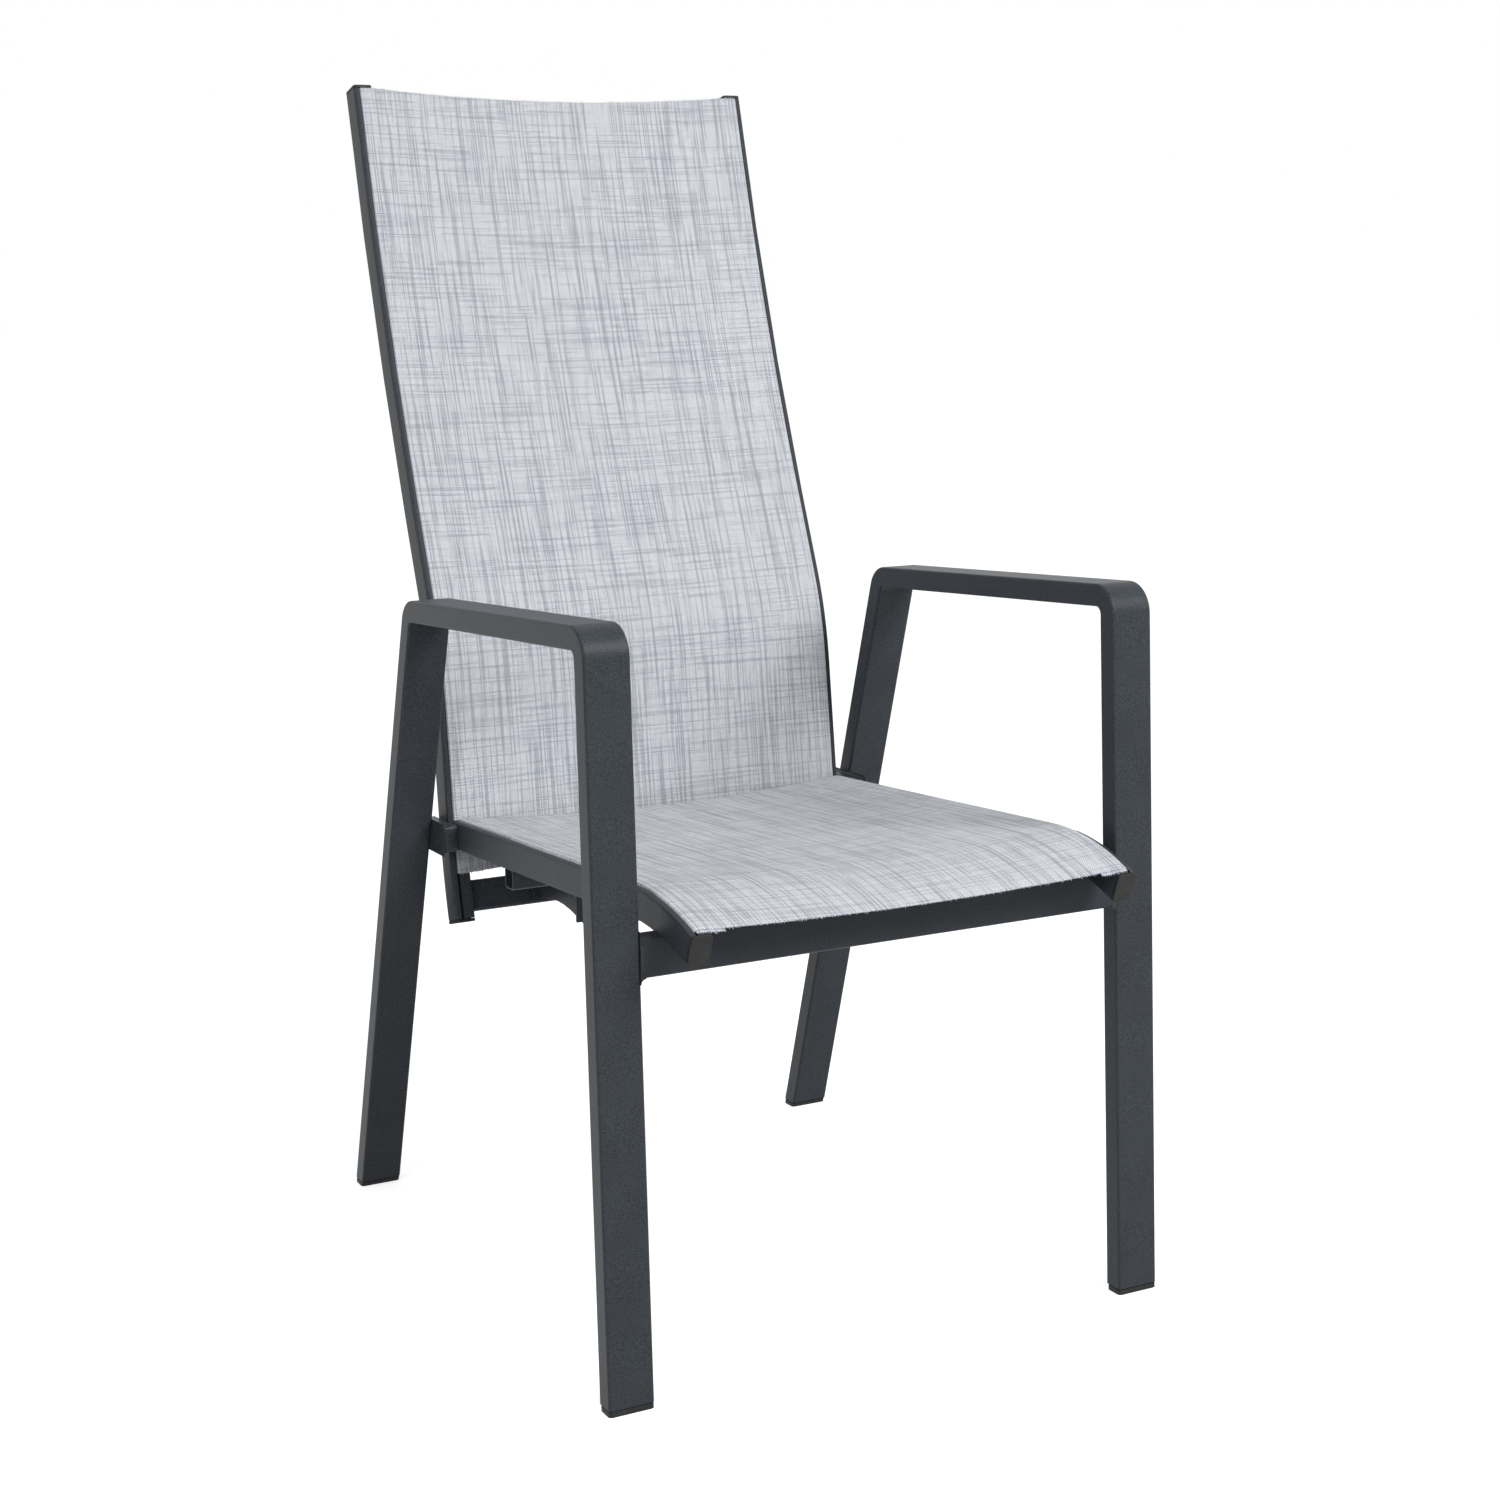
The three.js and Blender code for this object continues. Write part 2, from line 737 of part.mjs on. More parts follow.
function kederRod(side, path, sideSign) {
  const centred = path.points.map((point, i) =>
    point
      .clone()
      .addScaledVector(path.binormals[i], sideSign * kederDepth)
      .add(new THREE.Vector3(side * kederCentre, 0, 0)),
  );
  const line = new FramedPath(centred, path.tangents, path.normals);
  return sweep(roundSection(kederRodRadius, kederSides), line);
}

const seatStretch = (across) => trimmed(seatPath(across), 2 * gap, slingFrontSetback);
const backStretch = (across) => trimmed(backPath(across), backSlingLift, 2 * gap);
place("seat_sling", slingSheet(seatStretch(0), 1, seatSag), slingFabric);
place("back_sling", slingSheet(backStretch(0), -1, backSag), slingFabric);
for (const [hand, side] of hands) {
  place(`seat_keder_${hand}`, kederRod(side, seatStretch(side * railCentre), 1), kederPlastic);
  place(`back_keder_${hand}`, kederRod(side, backStretch(side * railCentre), -1), kederPlastic);
}

// Front crossbar with the two tabs that the seat rails bolt to

function frontCrossbar() {
  const half = legInnerFace - gap;
  const section = tubeSection(crossbarDepth, crossbarHeight, tubeWall, tubeCorner);
  const centre = [crossbarSetback + crossbarDepth / 2, crossbarBottom + crossbarHeight / 2];
  const ends = [-half, half].map((across) => new THREE.Vector3(across, ...centre));
  const along = new THREE.Vector3(1, 0, 0);
  const back = new THREE.Vector3(0, 1, 0);
  let bar = sweep(section, new FramedPath(ends, [along, along], [back, back]));
  for (const side of [-1, 1]) {
    const inner = railCentre - tabWidth / 2;
    const top = undersideAt(seatPath(0), lugDepth) - 2 * gap;
    const tab = sideBlock(
      side,
      inner,
      inner + tabWidth,
      [lugDepth - gap / 2 - tabThickness, crossbarTop - tubeWall / 2],
      [lugDepth - gap / 2, top],
    );
    const hole = depthRod(
      tabBoltRadius + boreClearance,
      lugDepth - overrun / 2,
      lugDepth + overrun / 2,
      side * railCentre,
      tabBoltHeight,
    );
    bar = cut(join(bar, tab), hole);
  }
  return bar;
}

// A bolt along Y with its head in front, and a hexagonal nut behind.
function tabBolt(side) {
  const across = side * railCentre;
  const front = lugDepth - gap / 2 - tabThickness;
  const rear = lugDepth + gap / 2 + tabThickness;
  const headFront = front - gap - tabHeadHeight;
  const nutRear = rear + gap + tabHeadHeight;
  const middle = headFront + tabHeadHeight / 2;
  const shank = depthRod(tabBoltRadius, middle, nutRear, across, tabBoltHeight, boltSides);
  const head = depthRod(tabHeadRadius, headFront, front - gap, across, tabBoltHeight, boltSides);
  const nut = depthRod(tabHeadRadius, rear + gap, nutRear, across, tabBoltHeight, nutSides);
  return join(shank, head, nut);
}

place("front_crossbar", frontCrossbar(), powderCoat);
for (const [hand, side] of hands) {
  place(`seat_front_bolt_${hand}`, tabBolt(side), zincSteel);
}

// Rear pivots: a block on each rear leg carries the seat rail's rear bolt and the back's pivot bolt

const pivotBlockFront = pivotDepth - pivotBlockAhead;

function pivotBlock(side) {
  const middle = pivotBlockFront + pivotBlockDepth / 2;
  const outline = roundedOutline(pivotBlockDepth, pivotBlockHeight, pivotBlockCorner).map(
    (point) => new THREE.Vector2(point.x + middle, point.y + pivotHeight),
  );
  const outer = legInnerFace - gap;
  const inner = railOuterFace + gap;
  const whole = uprightPlate(outline, outer - inner, (side * (outer + inner)) / 2);
  const relief = sideBlock(
    side,
    inner - overrun,
    railOuterFace + bushFlange + 2 * gap,
    [seatRearEnd + capThickness + 2 * gap, pivotHeight - pivotBlockHeight],
    [pivotDepth + overrun, pivotHeight + pivotBlockHeight],
  );
  const pivotBore = crossRod(
    pivotBoltRadius + boreClearance,
    side * (inner - overrun),
    side * (outer + overrun),
    pivotDepth,
    pivotHeight,
  );
  return cut(whole, relief, pivotBore, seatBoltBore(side));
}

// A bolt along X with its head on the inner face of a rail and its tip in the pivot block.
function railBolt(side, radius, headRadius, headHeight, depth, height) {
  const seatFace = railInnerFace - gap;
  const tip = legInnerFace - 2 * gap;
  const shank = crossRod(radius, side * (seatFace - headHeight / 2), side * tip, depth, height, boltSides);
  const head = crossRod(headRadius, side * (seatFace - headHeight), side * seatFace, depth, height, nutSides);
  return join(shank, head);
}

// A flanged bush in the back rail, with its flange against the pivot block.
function pivotBush(side) {
  const inner = pivotBoltRadius + boreClearance / 2;
  const outer = pivotBoltRadius + pivotBushWall;
  const start = railInnerFace;
  const flangeStart = railOuterFace + gap;
  const flangeEnd = flangeStart + bushFlange - gap;
  const profile = [
    [inner, start],
    [outer, start],
    [outer, flangeStart],
    [bushFlangeRadius, flangeStart],
    [bushFlangeRadius, flangeEnd],
    [inner, flangeEnd],
    [inner, start],
  ].map(([radius, along]) => new THREE.Vector2(radius, along));
  const bush = new THREE.LatheGeometry(profile, roundSides);
  bush.rotateZ(-side * Math.PI / 2);
  return toGeometry(toSolid(bush.translate(0, pivotDepth, pivotHeight)));
}

for (const [hand, side] of hands) {
  place(`pivot_block_${hand}`, pivotBlock(side), powderCoat);
  place(`pivot_bush_${hand}`, pivotBush(side), plastic);
  place(
    `pivot_bolt_${hand}`,
    railBolt(side, pivotBoltRadius, pivotHeadRadius, pivotHeadHeight, pivotDepth, pivotHeight),
    zincSteel,
  );
  place(
    `seat_rear_bolt_${hand}`,
    railBolt(side, seatBoltRadius, seatHeadRadius, seatHeadHeight, seatBoltDepth, seatBoltHeight),
    zincSteel,
  );
}

// Spreaders

const halfRailUpright = railDepth / 2 / Math.cos(radians(seatSlopeAngle));
const spreaderTop = seatLineHeight(spreaderRear) - halfRailUpright - gap;

function seatSpreader() {
  const middle = [seatSpreaderDepth, spreaderTop - seatSpreaderSize / 2];
  const half = railOuterFace - railCorner;
  const ends = [-half, half].map((across) => new THREE.Vector3(across, ...middle));
  const along = new THREE.Vector3(1, 0, 0);
  const back = new THREE.Vector3(0, 1, 0);
  const section = tubeSection(seatSpreaderSize, seatSpreaderSize, tubeWall, tubeCorner);
  return sweep(section, new FramedPath(ends, [along, along], [back, back]));
}

// The back's lower crossbar stands on edge between the rails, square to their lower stretch.
const backFoot = backPath(0);
const footUp = backFoot.tangents[0];
const footBack = backFoot.binormals[0];
const barLift = backCrossbarLift + backCrossbarHeight / 2;
const backBarCentre = backFoot.points[0].clone().addScaledVector(footUp, barLift);

function backCrossbar() {
  const half = railInnerFace - gap;
  const section = tubeSection(backCrossbarDepth, backCrossbarHeight, tubeWall, tubeCorner);
  const ends = [-half, half].map((across) => backBarCentre.clone().setX(across));
  const along = new THREE.Vector3(1, 0, 0);
  return sweep(section, new FramedPath(ends, [along, along], [footBack, footBack]));
}

// The upper spreader bows back behind the sling between the two rails.
function upperSpreader() {
  const path = backPath(0);
  const upperSpreaderHeight = seatTopHeight + upperSpreaderAboveSeat;
  const i = path.points.findIndex((point) => point.z >= upperSpreaderHeight);
  const low = path.points[i - 1];
  const high = path.points[i];
  const share = (upperSpreaderHeight - low.z) / (high.z - low.z);
  const centre = low.clone().lerp(high, share);
  const up = high.clone().sub(low).normalize();
  const back = new THREE.Vector3().crossVectors(up, new THREE.Vector3(1, 0, 0));
  const half = railInnerFace - gap;
  const points = [];
  const tangents = [];
  for (let s = 0; s <= bowSteps; s++) {
    const fromMiddle = (2 * s) / bowSteps - 1;
    const bow = upperSpreaderBow * (1 - fromMiddle * fromMiddle);
    points.push(centre.clone().setX(fromMiddle * half).addScaledVector(back, bow));
    const slope = (-2 * upperSpreaderBow * fromMiddle) / half;
    const square = s === 0 || s === bowSteps;
    tangents.push(new THREE.Vector3(1, 0, 0).addScaledVector(back, square ? 0 : slope).normalize());
  }
  const normals = tangents.map((tangent) => new THREE.Vector3().crossVectors(up, tangent).normalize());
  const section = tubeSection(upperSpreaderThickness, upperSpreaderWidth, tubeWall, tubeCorner);
  return sweep(section, new FramedPath(points, tangents, normals));
}

place("seat_spreader", seatSpreader(), powderCoat);
place("back_crossbar", backCrossbar(), powderCoat);
place("upper_spreader", upperSpreader(), powderCoat);

// Recline ratchet: two notched sectors hang from the seat spreader, and a latch bar in two brackets on
// the back's crossbar drops its pawls into them

// A place given by its distance from the pivot and its angle below straight ahead.
function aboutPivot(radius, angle) {
  return new THREE.Vector2(
    pivotDepth - radius * Math.cos(radians(angle)),
    pivotHeight - radius * Math.sin(radians(angle)),
  );
}

const latchCentre = aboutPivot(latchRadius, latchAngle);
const outwards = new THREE.Vector2(-Math.cos(radians(latchAngle)), -Math.sin(radians(latchAngle)));
const downwards = new THREE.Vector2(Math.sin(radians(latchAngle)), -Math.cos(radians(latchAngle)));
const toothHeight = Math.sqrt((sectorInnerRadius - 2 * gap) ** 2 - pawlReach ** 2) - latchRadius;
const reclineStep = reclineRange / (reclinePositions - 1);

// The angle at the pivot between the latch bar and a tooth's tip, once the latch has turned.
function toothAngleAt(travel) {
  const turn = radians(travel);
  const out = latchRadius + pawlReach * Math.sin(turn) + toothHeight * Math.cos(turn);
  const along = pawlReach * Math.cos(turn) - toothHeight * Math.sin(turn);
  return Math.atan2(along, out) * THREE.MathUtils.RAD2DEG;
}

// The notches stand where the teeth pass through on their way in.
const toothAngle = latchAngle + (toothAngleAt(latchTravel / 2) + toothAngleAt(latchTravel)) / 2;

function ratchetSector(side) {
  const margin = notchMouthShare * reclineStep;
  const lowest = toothAngle + margin;
  const highest = toothAngle - reclineRange - margin;
  const outer = sectorInnerRadius + sectorDepth;
  const points = [];
  for (let i = 0; i <= sectorSteps; i++) {
    const point = aboutPivot(outer, highest + ((lowest - highest) * i) / sectorSteps);
    points.push(new THREE.Vector2(Math.max(point.x, spreaderRear + gap), point.y));
  }
  for (let i = 0; i < reclinePositions; i++) {
    const middle = toothAngle - i * reclineStep;
    const mouth = (notchMouthShare * reclineStep) / 2;
    const root = (notchRootShare * reclineStep) / 2;
    if (i === 0) points.push(aboutPivot(sectorInnerRadius, lowest));
    points.push(aboutPivot(sectorInnerRadius, middle + mouth));
    points.push(aboutPivot(sectorInnerRadius + notchDepth, middle + root));
    points.push(aboutPivot(sectorInnerRadius + notchDepth, middle - root));
    points.push(aboutPivot(sectorInnerRadius, middle - mouth));
  }
  points.push(aboutPivot(sectorInnerRadius, highest));
  return toGeometry(toSolid(uprightPlate(points, sectorThickness, side * pawlPlane)));
}

// A point on the latch bar: along its arm and out towards the sector.
function onPawl(along, out) {
  return latchCentre.clone().addScaledVector(downwards, along).addScaledVector(outwards, out);
}

function latchBar() {
  const half = bracketPlane + bracketThickness / 2 + 2 * latchRodRadius;
  const hub = latchRodRadius * latchHubShare;
  const outline = [
    onPawl(-hub, -hub / 2),
    onPawl(-hub, hub / 2),
    onPawl(-hub / 2, hub),
    onPawl(hub / 2, hub),
    onPawl(hub, toothBase / 2),
    onPawl(pawlReach - toothBase / 2 - toothBase / 4, toothBase / 2),
    onPawl(pawlReach - toothTip / 2, toothHeight),
    onPawl(pawlReach + toothTip / 2, toothHeight),
    onPawl(pawlReach + toothBase / 2, 0),
    onPawl(pawlReach + toothBase / 2, -toothBase),
    onPawl(hub, -hub),
    onPawl(-hub / 2, -hub),
  ];
  const rod = crossRod(latchRodRadius, -half, half, latchCentre.x, latchCentre.y);
  const pawls = [-1, 1].map((side) => uprightPlate(outline, pawlThickness, side * pawlPlane));
  const gripOutline = [
    onPawl(-latchRodRadius / 2, 0),
    onPawl(-latchRodRadius / 2, -hub),
    onPawl(2 * hub, -hub),
    onPawl(2 * hub, -hub / 2),
    onPawl(latchRodRadius / 2, 0),
  ];
  return join(rod, ...pawls, uprightPlate(gripOutline, gripWidth, 0));
}

// A bracket: a flange on the crossbar's front face, a web with a concave lower edge that carries the
// latch bar's rod, and a lip turned out along the web's nose.
const barFront = backBarCentre.clone().addScaledVector(footBack, -backCrossbarDepth / 2 - gap);
function reclineBracket(side) {
  const low = barFront.clone().addScaledVector(footUp, -backCrossbarHeight / 2);
  const high = barFront.clone().addScaledVector(footUp, backCrossbarHeight / 2);
  const rearLow = new THREE.Vector2(low.y, low.z);
  const rearHigh = new THREE.Vector2(high.y, high.z);
  const nose = latchCentre.x - webNose;
  const top = latchCentre.y + webRise;
  const bottom = latchCentre.y - webDrop;
  const outline = [rearLow, rearHigh];
  outline.push(new THREE.Vector2(nose + webNoseCut, top), new THREE.Vector2(nose, top - webNoseCut));
  const toe = new THREE.Vector2(nose + webNoseCut, bottom);
  outline.push(new THREE.Vector2(nose, bottom + webNoseCut), toe);
  for (let i = 1; i <= webSteps; i++) {
    const share = i / (webSteps + 1);
    const point = toe.clone().lerp(rearLow, share);
    point.y += webDip * Math.sin(Math.PI * share);
    outline.push(point);
  }
  const web = uprightPlate(outline, bracketThickness, side * bracketPlane);
  const flangeOutline = [
    rearLow,
    rearHigh,
    new THREE.Vector2(rearHigh.x - bracketThickness, rearHigh.y),
    new THREE.Vector2(rearLow.x - bracketThickness, rearLow.y),
  ];
  const flange = uprightPlate(
    flangeOutline,
    flangeWidth,
    side * (bracketPlane - bracketThickness / 2 + flangeWidth / 2),
  );
  const lip = sideBlock(
    side,
    bracketPlane - bracketThickness / 2,
    bracketPlane - bracketThickness / 2 + flangeWidth,
    [nose, bottom + webNoseCut],
    [nose + bracketThickness, top - webNoseCut],
  );
  const bore = crossRod(
    latchRodRadius + boreClearance,
    side * (bracketPlane - overrun / 2),
    side * (bracketPlane + overrun / 2),
    latchCentre.x,
    latchCentre.y,
  );
  return cut(join(web, flange, lip), bore);
}

// A push-on clip outside each bracket keeps the latch bar in.
function latchClip(side) {
  const inner = bracketPlane + bracketThickness / 2 + gap;
  const outer = inner + bracketThickness / 2;
  const { x: depth, y: height } = latchCentre;
  const ring = crossRod(2 * latchRodRadius, side * inner, side * outer, depth, height);
  const bore = latchRodRadius + gap / 2;
  const hole = crossRod(bore, side * (inner - overrun), side * (inner + overrun), depth, height);
  return cut(ring, hole);
}

// A torsion spring on the rod between the pawl and the bracket.
function latchSpring(side) {
  const from = pawlPlane + pawlThickness / 2 + gap + springWireRadius;
  const to = bracketPlane - bracketThickness / 2 - gap - springWireRadius;
  const radius = latchRodRadius + springWireRadius + gap;
  const { x: depth, y: height } = latchCentre;
  const steps = springTurns * springSteps;
  const points = [];
  for (let i = 0; i <= steps; i++) {
    const angle = (2 * Math.PI * i) / springSteps;
    const across = side * THREE.MathUtils.lerp(from, to, i / steps);
    const [ahead, up] = [radius * Math.cos(angle), radius * Math.sin(angle)];
    points.push(new THREE.Vector3(across, depth + ahead, height + up));
  }
  const tangents = points.map((point, i) => {
    const before = points[Math.max(0, i - 1)];
    const after = points[Math.min(steps, i + 1)];
    return after.clone().sub(before).normalize();
  });
  const normals = tangents.map((tangent, i) => {
    const outward = points[i].clone().sub(new THREE.Vector3(points[i].x, depth, height));
    return outward.addScaledVector(tangent, -outward.dot(tangent)).normalize();
  });
  return sweep(roundSection(springWireRadius, springSides), new FramedPath(points, tangents, normals));
}

place("latch_bar", latchBar(), powderCoat);
for (const [hand, side] of hands) {
  place(`ratchet_sector_${hand}`, ratchetSector(side), powderCoat);
  place(`recline_bracket_${hand}`, reclineBracket(side), powderCoat);
  place(`latch_clip_${hand}`, latchClip(side), zincSteel);
  place(`latch_spring_${hand}`, latchSpring(side), zincSteel);
}

// The origin is on the floor under the middle of the chair's box.
const box = new THREE.Box3().setFromObject(chair);
const middle = box.getCenter(new THREE.Vector3());
chair.position.set(-middle.x, -middle.y, -box.min.z);

export default chair;
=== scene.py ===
# A sling patio chair: bent-tube side frames, sling rails, two woven slings and a ratchet under the seat,
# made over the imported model. Lengths are metres in the part's own frame: +Z is up, the chair faces -Y.

import json
import math
import random

import bmesh
import bpy
from mathutils import Matrix, Vector

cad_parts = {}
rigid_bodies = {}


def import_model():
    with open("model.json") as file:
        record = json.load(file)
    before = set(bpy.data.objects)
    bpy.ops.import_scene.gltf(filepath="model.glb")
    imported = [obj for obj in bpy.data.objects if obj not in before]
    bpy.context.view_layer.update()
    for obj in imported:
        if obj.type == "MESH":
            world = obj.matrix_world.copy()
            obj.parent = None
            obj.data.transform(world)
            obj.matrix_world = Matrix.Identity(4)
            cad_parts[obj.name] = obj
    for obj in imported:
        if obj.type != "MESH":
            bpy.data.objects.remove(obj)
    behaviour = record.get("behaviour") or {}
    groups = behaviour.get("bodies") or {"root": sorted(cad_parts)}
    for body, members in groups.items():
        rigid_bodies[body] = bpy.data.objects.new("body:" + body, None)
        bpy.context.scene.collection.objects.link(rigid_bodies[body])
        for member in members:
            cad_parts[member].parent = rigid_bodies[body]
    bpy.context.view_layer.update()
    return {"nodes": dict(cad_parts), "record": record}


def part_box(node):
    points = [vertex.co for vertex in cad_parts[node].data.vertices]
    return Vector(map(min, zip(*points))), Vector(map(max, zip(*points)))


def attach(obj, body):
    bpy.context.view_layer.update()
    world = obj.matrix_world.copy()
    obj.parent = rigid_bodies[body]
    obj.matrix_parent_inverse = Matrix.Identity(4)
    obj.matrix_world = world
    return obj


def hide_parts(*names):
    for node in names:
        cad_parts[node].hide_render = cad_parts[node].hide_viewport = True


bl_info = {
    "name": "Sling Patio Chair",
    "version": (1, 0, 0),
    "blender": (4, 5, 0),
    "location": "View3D > Sidebar > Sling Chair",
    "description": "Makes a reclining sling patio chair over its packed model",
    "category": "Add Mesh",
}

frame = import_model()
HANDS = (("left", -1), ("right", 1))
SLOT_OF = {row["node"]: row["material_slot"] for row in frame["record"]["subparts"]}
BODY_OF = {
    node: body for body, members in frame["record"]["behaviour"]["bodies"].items() for node in members
}


# Sizes that the pieces share

# The front feet's front edge lies at this depth. Depths below are measured back from it.
FLOOR_DATUM = -0.334857

# The side frames' tube: its section as it is seen and as it is packed, its bends, where it ends above
# the foot plugs and lies across the chair, and the lines that its legs and armrest follow.
TUBE_WIDTH = 0.0425
PACKED_TUBE_WIDTH = 0.040
TUBE_DEPTH = 0.0215
TUBE_CORNER = 0.0025
TUBE_BEND = 0.018
TUBE_FOOT = 0.0058
LEG_INNER = 0.241
TUBE_ACROSS = LEG_INNER + TUBE_WIDTH / 2
ARM_HEIGHT = 0.674
ARM_SLOPE = math.radians(2.5)
FRONT_LEAN = math.radians(1)
REAR_RAKE = math.radians(19.1)
REAR_FOOT = 0.6665826

# The crossbars' sections at their ends, depth by height. The front one is seen taller than it is
# packed, above its middle. The back one leans with the rails, and is seen lower than it is packed.
BAR_SECTION = (0.020, 0.033)
BAR_MIDDLE = 0.390
BAR_TALLER = 0.003
BACK_BAR_SECTION = (0.018, 0.032)
BACK_BAR_LOWER = 0.005

# The sling rails: their section, and where their keder slots lie across the chair.
RAIL_INNER = 0.2055
RAIL_DEPTH = 0.029
SLOT_ACROSS = 0.219
PIVOT = (0.5199964, 0.407)

# The seat rail's top height, slope, and the start, radius and turn of the curve at its front: as the
# solids have it, and as the photograph shows it. The tip's run keeps its shape between the two.
SEAT_END = PIVOT[0] - 0.028
SEAT_TOP_DEPTH = 0.158
PACKED_SEAT = (0.440, 2.8, 0.042, 0.188, 33.0)
SEEN_SEAT = (0.4385, 2.75, 0.0745, 0.281, 24.9)
SEAT_TIP_RUN = 0.045
# The share by which the seat rails' free ends are drawn together, and how far back that starts.
DRAWN_IN = 0.016
DRAWN_RUN = 0.13

# The back rail's lower end, its heading there, and each stretch's length and turn from there up.
BACK_BELOW = 0.089
BACK_FOOT_HEADING = math.radians(15)
BACK_RUNS = (
    (0.097, math.radians(-9.2)),
    (0.134, 0.0),
    (0.096, math.radians(15.7)),
    (0.090, 0.0),
    (0.4585, math.radians(-8.2)),
)

# The slings: where each stops short of its rail's ends, how far its free edges draw in at the middle,
# how far the seat's hem shows past it, how high it lies off the rail, and its cut yarns' ends.
SLING_SHORT = 0.0006
SEAT_FRONT_SHORT = 0.0050
BACK_FOOT_SHORT = 0.047
START_DIP = 0.004
HEM_SHOWS = 0.0030
CLOTH_LIFT = 0.0012
YARN_RADIUS = 0.00045
YARN_ROOT = 0.0006
# The cut yarns' spacing and greatest length, along the cloth's edges and along the hem's.
EDGE_YARNS = (0.0023, 0.0022)
HEM_YARNS = (0.0014, 0.0020)

LAMP_AIM = (0, 0, 0.6)
LAMP_TINT = (0.96, 0.985, 1.0)


# Working in Blender

def middle_of(node):
    """The middle of a CAD node's box, and its size."""
    low, high = (Vector(corner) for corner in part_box(node))
    return (low + high) / 2, high - low


def deselect():
    """Leaves nothing selected, so an operator acts on one piece alone."""
    for thing in bpy.context.view_layer.objects:
        thing.select_set(False)


def pick(piece):
    """Makes a piece the only one selected, and the active one."""
    deselect()
    piece.select_set(True)
    bpy.context.view_layer.objects.active = piece
    return piece


def named(name):
    """Names the piece that an operator has just added."""
    piece = bpy.context.object
    piece.name = name
    piece.data.name = name
    return piece


def settle():
    """Puts the active piece's place, turn and size into its mesh."""
    bpy.ops.object.transform_apply(location=True, rotation=True, scale=True)


def select_all():
    bpy.ops.mesh.select_all(action="SELECT")


def edit():
    """Opens the active piece's mesh, with all of it selected."""
    bpy.ops.object.mode_set(mode="EDIT")
    select_all()


def leave():
    bpy.ops.object.mode_set(mode="OBJECT")


def apply_modifier(piece, kind, **settings):
    """Adds a modifier to a piece, sets it and applies it."""
    pick(piece)
    modifier = piece.modifiers.new(kind.title(), kind)
    for key, value in settings.items():
        setattr(modifier, key, value)
    bpy.ops.object.modifier_apply(modifier=modifier.name)


def smooth(piece, angle=50):
    """Shades a piece round except over its sharp edges."""
    pick(piece)
    bpy.ops.object.shade_smooth_by_angle(angle=math.radians(angle))


def closed(piece):
    """Stops the script if a piece isn't one closed skin that faces out."""
    mesh = bmesh.new()
    mesh.from_mesh(piece.data)
    loose = sum(1 for edge in mesh.edges if len(edge.link_faces) != 2)
    volume = mesh.calc_volume(signed=True)
    mesh.free()
    if loose or volume <= 0:
        raise RuntimeError(f"{piece.name} isn't closed: {loose} open edges, volume {volume:.3g}")
    return piece


def fitted(piece, slot, body, finish, *nodes):
    """Gives a piece its finish, its body and the CAD nodes that it stands for."""
    piece.data.materials.clear()
    piece.data.materials.append(finish)
    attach(piece, body)
    if nodes:
        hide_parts(*nodes)
    return piece


# Lines in the plane of depth and height. A heading is 0 straight up and a quarter turn straight back.

def heading_of(angle):
    return Vector((0, math.sin(angle), math.cos(angle)))


def square_of(angle):
    return Vector((0, math.cos(angle), -math.sin(angle)))


class RailLine:
    """A rail's centre line: straights and arcs, looked up by the distance along them."""

    def __init__(self, depth, height, heading, runs):
        self.legs = []
        place = Vector((0, depth + FLOOR_DATUM, height))
        start = 0.0
        for length, turn in runs:
            self.legs.append((start, length, turn, place.copy(), heading))
            place = self._along(place, heading, length, turn, length)
            heading += turn
            start += length
        self.length = start

    @staticmethod
    def _along(place, heading, length, turn, distance):
        part = turn * distance / length
        if abs(part) < 1e-9:
            return place + heading_of(heading) * distance
        chord = distance * math.sin(part / 2) / (part / 2)
        return place + heading_of(heading + part / 2) * chord

    def nearest(self, point):
        """The distance along the line to the place that a point stands square off."""
        low, high = -0.02, self.length + 0.02
        for _ in range(40):
            third = (high - low) / 3
            gaps = [(self.at(low + third * i)[0] - point).yz.length for i in (1, 2)]
            if gaps[0] < gaps[1]:
                high -= third
            else:
                low += third
        return (low + high) / 2

    def at(self, distance):
        """The place and heading at a distance along the line."""
        leg = [one for one in self.legs if one[0] <= distance + 1e-9] or self.legs[:1]
        start, length, turn, place, heading = leg[-1]
        along = min(distance - start, length)
        end = self._along(place, heading, length, turn, along)
        heading += turn * along / length
        return end + heading_of(heading) * (distance - start - along), heading


def seat_line(top, slope, curve_start, radius, turn):
    """The seat rail's centre line, from its rear end to its tip."""
    slope = math.radians(slope)
    turn = math.radians(turn)
    height = top - RAIL_DEPTH / 2 / math.cos(slope) - (SEAT_END - SEAT_TOP_DEPTH) * math.tan(slope)
    straight = (SEAT_END - curve_start) / math.cos(slope)
    runs = ((straight, 0.0), (turn * radius, -turn))
    return RailLine(SEAT_END, height, slope - math.pi / 2, runs)


def back_line():
    """The back rail's centre line, from its lower end up, set so that it passes through the pivot."""
    trial = RailLine(0, -BACK_BELOW, BACK_FOOT_HEADING, BACK_RUNS)
    low, high = 0.0, BACK_RUNS[0][0]
    for _ in range(40):
        middle = (low + high) / 2
        if trial.at(middle)[0].z < 0:
            low = middle
        else:
            high = middle
    ahead = trial.at(low)[0].y - FLOOR_DATUM
    return RailLine(PIVOT[0] - ahead, PIVOT[1] - BACK_BELOW, BACK_FOOT_HEADING, BACK_RUNS)


PACKED_SEAT_LINE = seat_line(*PACKED_SEAT)
SEAT_LINE = seat_line(*SEEN_SEAT)
BACK_LINE = back_line()


